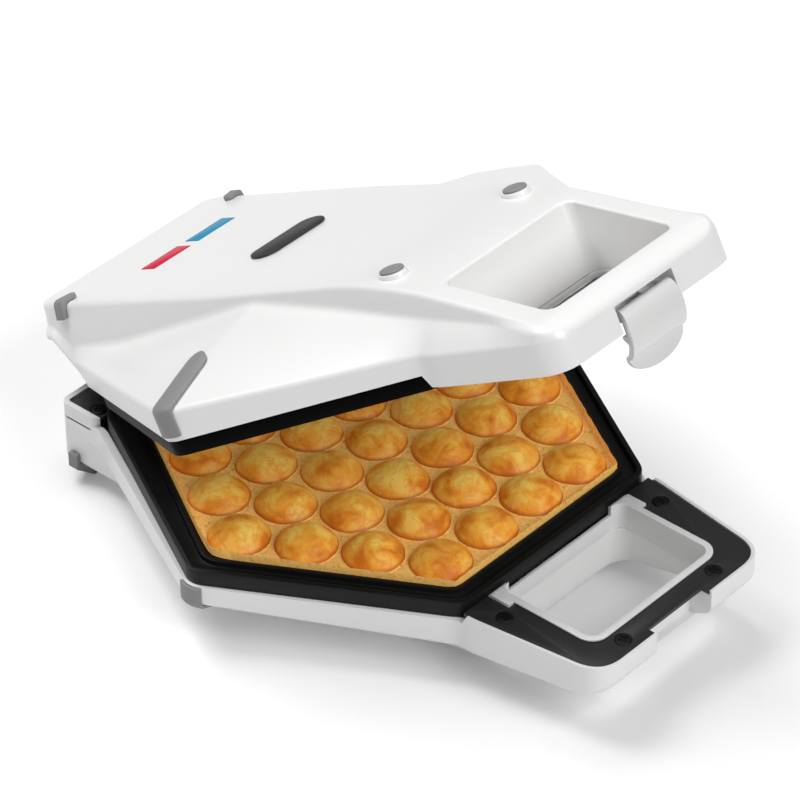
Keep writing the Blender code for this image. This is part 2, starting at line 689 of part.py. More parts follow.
LID = {
    "side": 1.0,
    "plan": mirrored(lid_plan()),
    "rear": LID_REAR_REACH,
    "rear_radius": LID_REAR_TOP_RADIUS,
    "side_end": LID_REAR_SIDE_END,
    "grip_radius": OPENING_CORNER_RADIUS,
    "pedestal": LID_PEDESTAL_HEIGHT,
    "cover_rear": -LID_PLATE_APOTHEM - PLATE_FRONT_CLEARANCE,
    "rear_stops": [HOOD_LIP_START, (HOOD_LIP_START + HOOD_LIP_END) / 2.0, HOOD_LIP_END],
    "rim": [(NECK_Y - NECK_STEP, SPLIT_HEIGHT + SPLIT_HALF_GAP), (NECK_Y + NECK_STEP, LID_RIM_HEIGHT),
            (HOOD_LIP_START, LID_RIM_HEIGHT), (HOOD_LIP_END, HOOD_LIP_HEIGHT)],
    "edge": [(NECK_Y, LID_EDGE_NECK), (0.0, LID_EDGE_HIP), (LID_REAR_SIDE_END, LID_EDGE_REAR)],
    "cove": [(NOSE_Y, COVE_NOSE_HEIGHT), (NECK_Y, COVE_NECK_HEIGHT), (0.0, COVE_HIP_HEIGHT),
             (LID_REAR_SIDE_END, COVE_REAR_HEIGHT)],
}
BASE = {
    "side": -1.0,
    "plan": mirrored(base_plan()),
    "rear": BOX_REAR - BOX_TUCK,
    "rear_radius": BOX_CORNER_RADIUS * 0.5,
    "side_end": BOX_RIM_FRONT,
    "cover_rear": -RIM_APOTHEM - PLATE_FRONT_CLEARANCE,
    "grip_radius": LOWER_GRIP_RADIUS,
    "pedestal": PEDESTAL_HEIGHT,
    "rear_stops": [],
    "rim": [(NECK_Y - NECK_STEP, -SPLIT_HEIGHT + HANDLE_WALL_DEPTH), (NECK_Y + NECK_STEP, BASE_RIM_DEPTH)],
    "edge": [(NOSE_Y, BASE_EDGE_NOSE), (NECK_Y, BASE_EDGE_NECK), (0.0, BASE_EDGE_HIP),
             (BOX_RIM_FRONT, BASE_EDGE_REAR)],
    "cove": [(NOSE_Y, COVE_NOSE_HEIGHT * 1.2), (NECK_Y, COVE_NECK_HEIGHT * 1.05), (0.0, COVE_HIP_HEIGHT),
             (BOX_RIM_FRONT, COVE_REAR_HEIGHT * 1.3)],
}


def cover_outline(form, margin, front_margin):
    """Handle cover plan: the body plan in front of the neck, drawn in by a margin."""
    front = NOSE_Y + front_margin
    rear = form["cover_rear"]
    right = []
    for share in (0.0, 0.03, 0.08, 0.16, 0.45, 0.75, 1.0):
        y = front + (rear - front) * share
        right.append((half_width(form["plan"], y - front_margin * (1.0 - share)) - margin, y))
    return mirrored(right)


def opening_outline(grow, radius=OPENING_CORNER_RADIUS):
    """Grip opening plan, grown on every side."""
    half = OPENING_HALF + grow
    front = OPENING_FRONT - grow
    rear = OPENING_REAR + grow
    return rounded([(-half, front), (half, front), (half, rear), (-half, rear)],
                   radius + grow)


def split(side, depth):
    """Height of a level measured away from the handle parting plane."""
    return SPLIT_HEIGHT + side * (SPLIT_HALF_GAP + depth)


def ordered(first, second):
    return (min(first, second), max(first, second))


def handle_cover(name, form):
    """Dark plate that closes one half of the handle, with the grip opening through it."""
    side = form["side"]
    near = LIP_THICKNESS + FIT_GAP
    low, high = ordered(split(side, near), split(side, near + COVER_THICKNESS))
    plate = prism(name, cover_outline(form, COVER_MARGIN, COVER_FRONT_MARGIN), low, high)
    hole = LINER_WALL + FIT_GAP
    cut(plate, prism("hole", opening_outline(hole), low - OVERRUN, high + OVERRUN))
    cut(plate, box("ears", -EAR_HALF - FIT_GAP, EAR_HALF + FIT_GAP, EAR_FRONT - FIT_GAP,
                   OVERRUN, low - OVERRUN, high + OVERRUN))
    return plate


def handle_liner(name, form):
    """White sleeve of the grip opening with its lip and its two rear ears."""
    side = form["side"]
    low, high = ordered(split(side, 0.0), split(side, LINER_DEPTH))
    sleeve = prism(name, opening_outline(LINER_WALL), low, high)
    lip_low, lip_high = ordered(split(side, 0.0), split(side, LIP_THICKNESS))
    join(sleeve, prism("lip", opening_outline(LINER_LIP_WIDTH), lip_low, lip_high))
    ear_low, ear_high = ordered(split(side, 0.0), split(side, LINER_DEPTH / 2.0))
    join(sleeve, box("ears", -EAR_HALF, EAR_HALF, EAR_FRONT, form["cover_rear"], ear_low, ear_high))
    cut(sleeve, prism("grip", opening_outline(0.0), low - OVERRUN, high + OVERRUN))
    # the plate rim comes down behind the sleeve, so its rear wall stays below the rim
    step = BASE_RIM_DEPTH + SPLIT_HEIGHT - SPLIT_HALF_GAP
    if side > 0.0:
        step = LID_PLATE_TOP - SPLIT_HEIGHT - SPLIT_HALF_GAP + FIT_GAP
    drop_low, drop_high = ordered(split(side, -OVERRUN), split(side, step))
    cut(sleeve, box("rim room", -BODY_APOTHEM, BODY_APOTHEM, form["cover_rear"], 0.0, drop_low, drop_high))
    if side < 0.0:
        # the lid plate's skirt comes down between the ears, and the wall there is low
        skirt_front = -LID_PLATE_APOTHEM - PLATE_FRONT_CLEARANCE
        cut(sleeve, box("skirt room", -BODY_APOTHEM, BODY_APOTHEM, skirt_front, 0.0,
                        -SKIRT_DROP - FIT_GAP, OVERRUN))
        low_half = OPENING_HALF - OPENING_CORNER_RADIUS
        cut(sleeve, box("low wall", -low_half, low_half, OPENING_REAR - LINER_LIP_WIDTH, 0.0,
                        drop_low, OVERRUN))
    return sleeve


def shell(name, form):
    """Hollow body half with the grip opening and the rebate for the handle cover."""
    side = form["side"]
    outer = body_solid(name, form, 0.0, 0.0)
    hollow = body_solid("hollow", form, SHELL_WALL, OVERRUN)
    if side < 0.0:
        plan = rounded([(-BOX_HALF, BOX_FRONT), (BOX_HALF, BOX_FRONT), (BOX_HALF, BOX_REAR),
                        (-BOX_HALF, BOX_REAR)], BOX_CORNER_RADIUS)
        join(outer, prism("rear box", plan, -BOX_DEPTH, -BASE_RIM_DEPTH - BOX_TUCK))
        rim = rounded([(-BOX_HALF, BOX_RIM_FRONT), (BOX_HALF, BOX_RIM_FRONT), (BOX_HALF, BOX_REAR),
                       (-BOX_HALF, BOX_REAR)], BOX_CORNER_RADIUS)
        join(outer, prism("rear rim", rim, -BASE_RIM_DEPTH - SHELL_WALL, -BOX_TOP_DEPTH))
        inner_half = BOX_HALF - SHELL_WALL
        inner = rounded([(-inner_half, BOX_FRONT + SHELL_WALL), (inner_half, BOX_FRONT + SHELL_WALL),
                         (inner_half, BOX_REAR - SHELL_WALL), (-inner_half, BOX_REAR - SHELL_WALL)],
                        BOX_CORNER_RADIUS - SHELL_WALL)
        join(hollow, prism("box room", inner, -BOX_DEPTH + SHELL_WALL, OVERRUN))
    notch_far = LID_NOTCH_HEIGHT if side > 0.0 else NOTCH_LOWER_DEPTH
    low, high = ordered(-side * OVERRUN, side * (notch_far + SHELL_WALL))
    cut(hollow, box("pocket", -NOTCH_HALF - SHELL_WALL, NOTCH_HALF + SHELL_WALL, NOSE_Y - OVERRUN,
                    NOSE_Y + NOTCH_DEPTH + SHELL_WALL, low, high))
    seam = split(side, LINER_DEPTH + FIT_GAP)
    low, high = ordered(seam, side * OVERRUN * 2.0)
    cut(hollow, prism("grip wall", opening_outline(SHELL_WALL), low, high))
    cut(outer, hollow)
    cut(outer, prism("grip", opening_outline(0.0, form["grip_radius"]), -OVERRUN * 3.0, OVERRUN * 3.0))
    near = LIP_THICKNESS + FIT_GAP + COVER_THICKNESS + FIT_GAP
    low, high = ordered(split(side, -OVERRUN), split(side, near))
    rebate = cover_outline(form, COVER_MARGIN - FIT_GAP, COVER_FRONT_MARGIN - FIT_GAP)
    cut(outer, prism("rebate", rebate, low, high))
    low, high = ordered(-side * OVERRUN, side * notch_far)
    cut(outer, box("latch notch", -NOTCH_HALF, NOTCH_HALF, NOSE_Y - OVERRUN,
                   NOSE_Y + NOTCH_DEPTH, low, high))
    for sign in (-1.0, 1.0):
        oval = [(sign * PAD_X + x * (PAD_HALF_LENGTH + PEDESTAL_MARGIN),
                 PAD_Y + y * (PAD_HALF_WIDTH + PEDESTAL_MARGIN))
                for x, y in disc_points((0.0, 0.0), 1.0, 20)]
        low, high = ordered(side * PEDESTAL_ROOT, side * form["pedestal"])
        join(outer, prism("pedestal", oval, low, high))
    return outer


def surface_patch(name, form, region, low_gap, high_gap):
    """Skin of even thickness that follows a body's surface inside a region."""
    patch = body_solid(name, form, -high_gap, 0.0)
    clip(patch, region)
    cut(patch, body_solid("core", form, -low_gap, OVERRUN))
    return patch


def tube(name, points, radius, sides=10):
    """Round bar along a path of points."""
    path = bpy.data.curves.new(name, "CURVE")
    path.dimensions = "3D"
    path.bevel_depth = radius
    path.bevel_resolution = max((sides - 4) // 2, 0)
    path.use_fill_caps = True
    line = path.splines.new("POLY")
    line.points.add(len(points) - 1)
    for spot, point in zip(line.points, points):
        spot.co = (*point, 1.0)
    item = bpy.data.objects.new(name, path)
    bpy.context.scene.collection.objects.link(item)
    graph = bpy.context.evaluated_depsgraph_get()
    graph.update()
    data = bpy.data.meshes.new_from_object(item.evaluated_get(graph))
    bpy.data.objects.remove(item, do_unlink=True)
    shape = bmesh.new()
    shape.from_mesh(data)
    bmesh.ops.remove_doubles(shape, verts=shape.verts, dist=MERGE_DISTANCE)
    return add_mesh(name, shape)


def rod(name, start, end, radius, sides=16):
    """Straight round bar between two points."""
    axis = Vector(end) - Vector(start)
    turn = axis.to_track_quat("Z", "Y").to_matrix().to_4x4()
    rings = []
    for along in (0.0, axis.length):
        ring = []
        for x, y in disc_points((0.0, 0.0), radius, sides):
            ring.append(tuple(Vector(start) + (turn @ Vector((x, y, along)))))
        rings.append(ring)
    return loft(name, rings)


def finish(item, recipe, smooth=True):
    """Give a piece its own surface and its shading."""
    item.data.materials.clear()
    item.data.materials.append(tint(item.name + "_surface", recipe))
    for face in item.data.polygons:
        face.material_index = 0
        face.use_smooth = smooth
    if smooth:
        item.data.set_sharp_from_angle(angle=math.radians(32.0))
    return item


base_pieces = []
lid_pieces = []
latch_pieces = []


def base_piece(item, recipe, smooth=True):
    base_pieces.append(finish(item, recipe, smooth))


def lid_piece(item, recipe, smooth=True):
    lid_pieces.append(finish(item, recipe, smooth))


# Base shell, with its inlet hole and screw bosses
base_shell = shell("base_shell", BASE)
inlet_z = -INLET_DEPTH
cut(base_shell, rod("inlet hole", (0.0, BOX_REAR - OVERRUN / 4.0, inlet_z),
                    (0.0, BOX_REAR + OVERRUN, inlet_z), INLET_RADIUS + FIT_GAP))
cover_face = split(-1.0, LIP_THICKNESS + FIT_GAP)
screw_places = [("nose_screw", NOSE_SCREW_X, NOSE_SCREW_Y, cover_face, COVER_THICKNESS),
                ("neck_screw", NECK_SCREW_X, NECK_SCREW_Y, cover_face, COVER_THICKNESS),
                ("rear_screw", REAR_SCREW_X, REAR_SCREW_Y, -REAR_COVER_DEPTH, REAR_COVER_THICKNESS)]
root_shares = {"nose_screw": BOSS_ROOT_SHARE, "neck_screw": NECK_ROOT_SHARE, "rear_screw": BOSS_ROOT_SHARE}
for word, x, y, face, thickness in screw_places:
    depth = crown_height(y, BASE["rear"], BASE["rear_radius"])
    if word == "neck_screw":
        depth = section(BASE, y, 0.0)[6][1]
    if word == "rear_screw":
        depth = BOX_DEPTH
    top = face - thickness - FIT_GAP
    for sign in (-1.0, 1.0):
        root = SHELL_WALL * root_shares[word] - depth
        join(base_shell, rod("boss", (sign * x, y, top), (sign * x, y, root), BOSS_RADIUS, 12))
        hole_end = face - SCREW_LENGTH - FIT_GAP
        cut(base_shell, rod("boss hole", (sign * x, y, top + OVERRUN), (sign * x, y, hole_end),
                            SCREW_SHANK_RADIUS + SCREW_CLEARANCE, 12))
base_piece(base_shell, WHITE_PLASTIC)

# Lower cooking plate: rim, gutter, pan and wells
lower_plate = prism("lower_plate", rim_outline(), PLATE_UNDERSIDE, RIM_TOP)
gutter = prism("gutter", rim_outline(-OUTER_RIDGE_WIDTH), RIM_TOP - GUTTER_DEPTH, RIM_TOP + OVERRUN)
cut(gutter, prism("inner ridge", pan_outline(INNER_RIDGE_WIDTH), -OVERRUN, OVERRUN * 2.0))
cut(lower_plate, gutter)
cut(lower_plate, prism("pan", pan_outline(), PLATE_FLOOR, OVERRUN))
lower_tip = PLATE_FLOOR - LOWER_WELL_DEPTH
join(lower_plate, bubble_field("bumps", PLATE_FLOOR, lower_tip, PLATE_WALL, PLATE_UNDERSIDE + FIT_GAP, 8))
cut(lower_plate, bubble_field("wells", PLATE_FLOOR, lower_tip, 0.0, PLATE_FLOOR + WEB_DEPTH / 2.0, 10))
base_piece(lower_plate, COATED_METAL)

# Handle cover with the latch edge, sleeve and rear cover
base_cover = handle_cover("base_handle_cover", BASE)
catch_y = NOSE_Y + COVER_NOTCH_INSET
cut(base_cover, box("latch mouth", -NOTCH_HALF, NOTCH_HALF, NOSE_Y - OVERRUN, catch_y, -OVERRUN, OVERRUN))
for word, x, y, face, thickness in screw_places[:2]:
    for sign in (-1.0, 1.0):
        cut(base_cover, rod("screw hole", (sign * x, y, -OVERRUN), (sign * x, y, OVERRUN),
                            SCREW_SHANK_RADIUS + SCREW_CLEARANCE, 12))
base_piece(base_cover, BLACK_PLASTIC)
base_piece(handle_liner("base_grip_sleeve", BASE), WHITE_PLASTIC)
cover_half = BOX_HALF - SHELL_WALL - FIT_GAP
cover_rear = BOX_REAR - SHELL_WALL - FIT_GAP
rear_cover = prism("base_rear_cover", rounded([(-cover_half, RIM_REAR_REACH + FIT_GAP * 2.0),
                                               (cover_half, RIM_REAR_REACH + FIT_GAP * 2.0),
                                               (cover_half, cover_rear), (-cover_half, cover_rear)],
                                              BOX_CORNER_RADIUS - SHELL_WALL),
                   -REAR_COVER_DEPTH - REAR_COVER_THICKNESS, -REAR_COVER_DEPTH)
for sign in (-1.0, 1.0):
    cut(rear_cover, rod("screw hole", (sign * REAR_SCREW_X, REAR_SCREW_Y, -OVERRUN),
                        (sign * REAR_SCREW_X, REAR_SCREW_Y, OVERRUN),
                        SCREW_SHANK_RADIUS + SCREW_CLEARANCE, 12))
base_piece(rear_cover, BLACK_PLASTIC)

# Lid shell, with lens windows and the holes of the latch pin
pivot_y = NOSE_Y + LATCH_PIVOT_INSET
pivot = (0.0, pivot_y, LATCH_PIVOT_HEIGHT)
lid_shell = shell("lid_shell", LID)
for start, end in ((RED_LENS_START, RED_LENS_END), (BLUE_LENS_START, BLUE_LENS_END)):
    cut(lid_shell, box("lens window", start - FIT_GAP, end + FIT_GAP,
                       LENS_Y - LENS_HALF_DEPTH - FIT_GAP, LENS_Y + LENS_HALF_DEPTH + FIT_GAP,
                       CROWN_HEIGHT - SHELL_WALL * 2.0, CROWN_HEIGHT + OVERRUN))
pin_seat = NOTCH_HALF + SHELL_WALL * 0.8
cut(lid_shell, rod("pin hole", (-pin_seat, pivot_y, LATCH_PIVOT_HEIGHT),
                   (pin_seat, pivot_y, LATCH_PIVOT_HEIGHT), LATCH_PIN_RADIUS + PIN_CLEARANCE, 12))
lid_piece(lid_shell, WHITE_PLASTIC)

# Upper cooking plate: face, skirt and wells
rim_under = RIM_TOP + PRESS_GAP
upper_plate = prism("upper_plate", lid_plate_outline(), -SKIRT_DROP, LID_PLATE_TOP)
cut(upper_plate, prism("skirt room", lid_plate_outline(-SKIRT_WALL), -OVERRUN, rim_under))
skirt_gap_front = LID_PLATE_REAR_REACH - RIM_CORNER_RADIUS / 2.0
cut(upper_plate, box("rear skirt gap", -BODY_SIDE_REACH, BODY_SIDE_REACH, skirt_gap_front,
                     LID_PLATE_REAR_REACH + OVERRUN, -OVERRUN, rim_under))
face_top = rim_under + (LID_PLATE_TOP - rim_under) / 2.0
join(upper_plate, prism("face", pan_outline(-PRESS_GAP), 0.0, face_top))
upper_tip = UPPER_WELL_HEIGHT
join(upper_plate, bubble_field("bumps", 0.0, upper_tip, PLATE_WALL, LID_PLATE_TOP - FIT_GAP, 8))
cut(upper_plate, bubble_field("wells", 0.0, upper_tip, 0.0, -WEB_DEPTH / 2.0, 10))
lid_piece(upper_plate, COATED_METAL)

lid_cover = handle_cover("lid_handle_cover", LID)
cut(lid_cover, box("latch mouth", -NOTCH_HALF, NOTCH_HALF, NOSE_Y - OVERRUN, NOSE_Y + NOTCH_DEPTH,
                   -OVERRUN, OVERRUN))
lid_piece(lid_cover, BLACK_PLASTIC)
lid_piece(handle_liner("lid_grip_sleeve", LID), WHITE_PLASTIC)

# Lenses, lamps and badge
for name, start, end, surface in (("red_lens", RED_LENS_START, RED_LENS_END, RED_LENS),
                                  ("blue_lens", BLUE_LENS_START, BLUE_LENS_END, BLUE_LENS)):
    lens = box(name, start, end, LENS_Y - LENS_HALF_DEPTH, LENS_Y + LENS_HALF_DEPTH,
               CROWN_HEIGHT - LENS_DEPTH, CROWN_HEIGHT + LENS_PROUD)
    lid_piece(lens, surface, False)
    lamp_z = CROWN_HEIGHT - LENS_DEPTH - FIT_GAP - LAMP_RADIUS
    lid_piece(rod(name.replace("lens", "lamp"), (start + LAMP_END_MARGIN, LENS_Y, lamp_z),
                  (end - LAMP_END_MARGIN, LENS_Y, lamp_z), LAMP_RADIUS, 12), surface)
badge = prism("badge", rounded([(BADGE_X - BADGE_HALF_LENGTH, BADGE_Y - BADGE_HALF_DEPTH),
                                (BADGE_X + BADGE_HALF_LENGTH, BADGE_Y - BADGE_HALF_DEPTH),
                                (BADGE_X + BADGE_HALF_LENGTH, BADGE_Y + BADGE_HALF_DEPTH),
                                (BADGE_X - BADGE_HALF_LENGTH, BADGE_Y + BADGE_HALF_DEPTH)],
                               BADGE_HALF_DEPTH * 0.95, 5), CROWN_HEIGHT + FIT_GAP,
              CROWN_HEIGHT + FIT_GAP + BADGE_THICKNESS)
lid_piece(badge, BADGE_METAL)

# Corner guards, on the left corner of both halves
for form, add, word in ((LID, lid_piece, "lid"), (BASE, base_piece, "base")):
    reach = BODY_SIDE_REACH + OVERRUN
    span = rounded([(-GUARD_INNER_X, -GUARD_HALF_WIDTH), (-GUARD_INNER_X, GUARD_HALF_WIDTH),
                    (-reach, GUARD_HALF_WIDTH), (-reach, -GUARD_HALF_WIDTH)],
                   GUARD_HALF_WIDTH * 0.95, 4)
    bottom = GUARD_BOTTOM if form["side"] > 0.0 else BASE_RIM_DEPTH + FIT_GAP
    low, high = ordered(form["side"] * bottom, form["side"] * CROWN_HEIGHT)
    region = prism("region", span, low, high)
    guard = surface_patch(word + "_guard_left", form, region, FIT_GAP, FIT_GAP + GUARD_THICKNESS)
    add(guard, GREY_RUBBER)

# Pads and feet on both halves
for sign, tag in ((-1.0, "left"), (1.0, "right")):
    for form, add, word in ((LID, lid_piece, "lid"), (BASE, base_piece, "base")):
        side = form["side"]
        oval = [(sign * PAD_X + x * PAD_HALF_LENGTH, PAD_Y + y * PAD_HALF_WIDTH)
                for x, y in disc_points((0.0, 0.0), 1.0, 20)]
        foot = form["pedestal"] + FIT_GAP
        low, high = ordered(side * foot, side * (foot + PAD_THICKNESS))
        add(prism(word + "_pad_" + tag, oval, low, high), GREY_RUBBER)
    # lid rear corner wraps follow the rounded corner
    along = Vector((sign * math.cos(WRAP_ANGLE), math.sin(WRAP_ANGLE)))
    across = Vector((-along.y, along.x)) * WRAP_HALF_WIDTH
    start = Vector((sign * WRAP_X, WRAP_Y))
    far = start + along * OVERRUN
    corners = [tuple(start - across), tuple(far - across), tuple(far + across), tuple(start + across)]
    region = prism("region", corners, WRAP_BOTTOM, CROWN_HEIGHT + OVERRUN)
    lid_piece(surface_patch("lid_wrap_" + tag, LID, region, FIT_GAP, WRAP_THICKNESS), GREY_RUBBER)
    # base rear feet wrap from the box side to the floor
    inner = BOX_HALF + FIT_GAP
    outer = inner + WRAP_THICKNESS
    keel = steps_between([(CROWN_TAPER_END, CROWN_FRONT_HALF), (CROWN_TAPER_START, CROWN_REAR_HALF)],
                         REAR_FOOT_FRONT)
    keel_x = keel + COVE_DRAFT_SHARE * (CROWN_HEIGHT - BOX_DEPTH) + FIT_GAP * 2.0
    ring = [(inner, -REAR_FOOT_TOP_DEPTH), (outer, -REAR_FOOT_TOP_DEPTH),
            (outer, -BOX_DEPTH - WRAP_THICKNESS), (keel_x + WRAP_THICKNESS, -STAND_HEIGHT),
            (REAR_FOOT_INNER_X, -STAND_HEIGHT), (REAR_FOOT_INNER_X, -CROWN_HEIGHT - FIT_GAP),
            (keel_x, -CROWN_HEIGHT - FIT_GAP), (keel_x, -BOX_DEPTH - FIT_GAP),
            (inner, -BOX_DEPTH - FIT_GAP)]
    foot = depth_prism("base_wrap_" + tag, [(sign * x, z) for x, z in ring], REAR_FOOT_FRONT,
                       REAR_FOOT_FRONT + REAR_FOOT_LENGTH)
    base_piece(foot, GREY_RUBBER, False)

# Hinge: arms on the rear cover, brackets inside the lid hood, one pin at each side
arm_low = -REAR_COVER_DEPTH + FIT_GAP
roof = CROWN_HEIGHT - SHELL_WALL - FIT_GAP
for sign, tag in ((-1.0, "left"), (1.0, "right")):
    neck = [(ARM_FOOT_FRONT, arm_low), (ARM_FOOT_REAR, arm_low),
            (ARM_FOOT_REAR - ARM_EYE_RADIUS * 0.15, ARM_KNEE_HEIGHT),
            (HINGE_Y - ARM_EYE_RADIUS * 0.3, HINGE_HEIGHT - ARM_EYE_RADIUS * 0.9),
            (HINGE_Y - ARM_EYE_RADIUS * 0.3, HINGE_HEIGHT + ARM_EYE_RADIUS * 0.9),
            (ARM_FOOT_FRONT + ARM_EYE_RADIUS * 0.5, HINGE_HEIGHT - ARM_EYE_RADIUS),
            (ARM_FOOT_FRONT, ARM_KNEE_HEIGHT)]
    left, right = ordered(sign * ARM_X, sign * (ARM_X + ARM_WIDTH))
    arm = side_prism("hinge_arm_" + tag, neck, left, right)
    eye = disc_points((HINGE_Y, HINGE_HEIGHT), ARM_EYE_RADIUS, 20)
    join(arm, side_prism("eye", eye, left, right))
    flange_left, flange_right = ordered(sign * (ARM_X - ARM_FOOT_WIDTH), sign * (ARM_X + ARM_WIDTH * 0.5))
    join(arm, box("flange", flange_left, flange_right, ARM_FOOT_FRONT + FIT_GAP, ARM_FOOT_REAR - FIT_GAP,
                  arm_low, arm_low + ARM_FOOT_THICKNESS))
    cut(arm, rod("pin hole", (-OVERRUN * 2.0, HINGE_Y, HINGE_HEIGHT),
                 (OVERRUN * 2.0, HINGE_Y, HINGE_HEIGHT), PIN_RADIUS + PIN_CLEARANCE, 20))
    base_piece(arm, BLACK_PLASTIC)
    near = ARM_X + ARM_WIDTH + FIT_GAP
    left, right = ordered(sign * near, sign * (near + BRACKET_WIDTH))
    plate = [(HINGE_Y - BRACKET_EYE_RADIUS, HINGE_HEIGHT), (HINGE_Y + BRACKET_EYE_RADIUS, HINGE_HEIGHT),
             (HINGE_Y + BRACKET_EYE_RADIUS, roof), (HINGE_Y - BRACKET_EYE_RADIUS * 2.0, roof)]
    bracket = side_prism("hinge_bracket_" + tag, plate, left, right)
    eye = disc_points((HINGE_Y, HINGE_HEIGHT), BRACKET_EYE_RADIUS * 1.001, 20)
    join(bracket, side_prism("eye", eye, left, right))
    cut(bracket, rod("pin hole", (-OVERRUN * 2.0, HINGE_Y, HINGE_HEIGHT),
                     (OVERRUN * 2.0, HINGE_Y, HINGE_HEIGHT), PIN_RADIUS + PIN_CLEARANCE, 20))
    lid_piece(bracket, STEEL)
    pin = rod("hinge_pin_" + tag, (sign * (ARM_X - FIT_GAP), HINGE_Y, HINGE_HEIGHT),
              (sign * (near + BRACKET_WIDTH + FIT_GAP * 2.0), HINGE_Y, HINGE_HEIGHT), PIN_RADIUS, 20)
    join(pin, rod("head", (sign * (ARM_X - FIT_GAP), HINGE_Y, HINGE_HEIGHT),
                  (sign * (ARM_X - FIT_GAP - PIN_HEAD_LENGTH), HINGE_Y, HINGE_HEIGHT), PIN_HEAD_RADIUS, 20))
    base_piece(pin, STEEL)

# Latch lever, its pin and its spring, hanging in the lid notch
crease = -LATCH_CREASE_DEPTH
lip_front = NOSE_Y + LATCH_LIP_SETBACK
lip_back = lip_front + LATCH_LIP_THICKNESS
lever_ring = [(NOSE_Y + LATCH_BULGE * 0.2, LATCH_TOP),
              (NOSE_Y - LATCH_BULGE * 0.6, LATCH_TOP * 0.65),
              (NOSE_Y - LATCH_BULGE, crease * 0.2),
              (NOSE_Y - LATCH_BULGE * 0.8, crease * 0.45),
              (NOSE_Y + LATCH_LIP_SETBACK * 0.2, crease * 0.86),
              (lip_front, crease),
              (lip_front, -LATCH_BOTTOM_DEPTH * 1.05),
              (lip_back, -LATCH_BOTTOM_DEPTH * 1.05),
              (lip_back, crease * 0.95),
              (NOSE_Y + LATCH_WALL * 0.9, crease * 0.65),
              (NOSE_Y + LATCH_WALL * 0.2, crease * 0.1),
              (NOSE_Y + LATCH_WALL * 0.7, LATCH_TOP)]
lever = side_prism("latch_lever", lever_ring, -LATCH_HALF, LATCH_HALF)
# below the crease the lever is a half disc
lip_depth = LATCH_BOTTOM_DEPTH - LATCH_CREASE_DEPTH
beside = LATCH_HALF + FIT_GAP
below = -LATCH_BOTTOM_DEPTH * 1.2
disc = [(LATCH_HALF * math.cos(math.pi * step / 16.0),
         crease - lip_depth * math.sin(math.pi * step / 16.0)) for step in range(17)]
outside = [(beside, crease)] + disc + [(-beside, crease), (-beside, below), (beside, below)]
cut(lever, depth_prism("disc edge", outside, NOSE_Y - OVERRUN, NOSE_Y + OVERRUN))
for sign in (-1.0, 1.0):
    left, right = ordered(sign * LATCH_HALF, sign * (LATCH_HALF - LATCH_EAR_WIDTH))
    link = [(NOSE_Y + LATCH_WALL * 0.5, LATCH_PIVOT_HEIGHT - LATCH_BOSS_RADIUS * 0.9),
            (pivot_y, LATCH_PIVOT_HEIGHT - LATCH_BOSS_RADIUS),
            (pivot_y, LATCH_PIVOT_HEIGHT + LATCH_BOSS_RADIUS),
            (NOSE_Y + LATCH_WALL * 0.5, LATCH_PIVOT_HEIGHT + LATCH_BOSS_RADIUS * 0.9)]
    join(lever, side_prism("ear", link, left, right))
    boss = disc_points((pivot_y, LATCH_PIVOT_HEIGHT), LATCH_BOSS_RADIUS * 1.02, 16)
    join(lever, side_prism("boss", boss, left, right))
cover_under = split(-1.0, LIP_THICKNESS + FIT_GAP + COVER_THICKNESS)
tooth_top = cover_under - FIT_GAP
tooth = [(NOSE_Y + LATCH_WALL * 0.1, tooth_top),
         (catch_y + TOOTH_REACH, tooth_top),
         (catch_y + TOOTH_REACH, tooth_top - TOOTH_TIP),
         (NOSE_Y + LATCH_WALL * 1.4, tooth_top - TOOTH_HEIGHT),
         (NOSE_Y + LATCH_WALL * 0.5, tooth_top - TOOTH_HEIGHT * 0.7)]
join(lever, side_prism("tooth", tooth, -TOOTH_HALF, TOOTH_HALF))
cut(lever, rod("pin hole", (-OVERRUN, pivot_y, LATCH_PIVOT_HEIGHT), (OVERRUN, pivot_y, LATCH_PIVOT_HEIGHT),
               LATCH_PIN_RADIUS + PIN_CLEARANCE, 16))
latch_pieces.append(finish(lever, LEVER_PLASTIC))
pin_half = NOTCH_HALF + SHELL_WALL * 0.7
lid_piece(rod("latch_pin", (-pin_half, pivot_y, LATCH_PIVOT_HEIGHT),
              (pin_half, pivot_y, LATCH_PIVOT_HEIGHT), LATCH_PIN_RADIUS, 12), STEEL)
coil = [(-SPRING_HALF_LENGTH, pivot_y + SPRING_COIL_RADIUS, LATCH_PIVOT_HEIGHT - SPRING_ARM_LENGTH)]
for step in range(SPRING_TURNS * 8 + 1):
    turn = step * math.pi / 4.0
    coil.append((-SPRING_HALF_LENGTH + 2.0 * SPRING_HALF_LENGTH * step / (SPRING_TURNS * 8),
                 pivot_y + SPRING_COIL_RADIUS * math.cos(turn),
                 LATCH_PIVOT_HEIGHT + SPRING_COIL_RADIUS * math.sin(turn)))
coil.append((SPRING_HALF_LENGTH, pivot_y + SPRING_COIL_RADIUS, LATCH_PIVOT_HEIGHT + SPRING_ARM_LENGTH))
lid_piece(tube("latch_spring", coil, SPRING_WIRE_RADIUS, 6), STEEL)

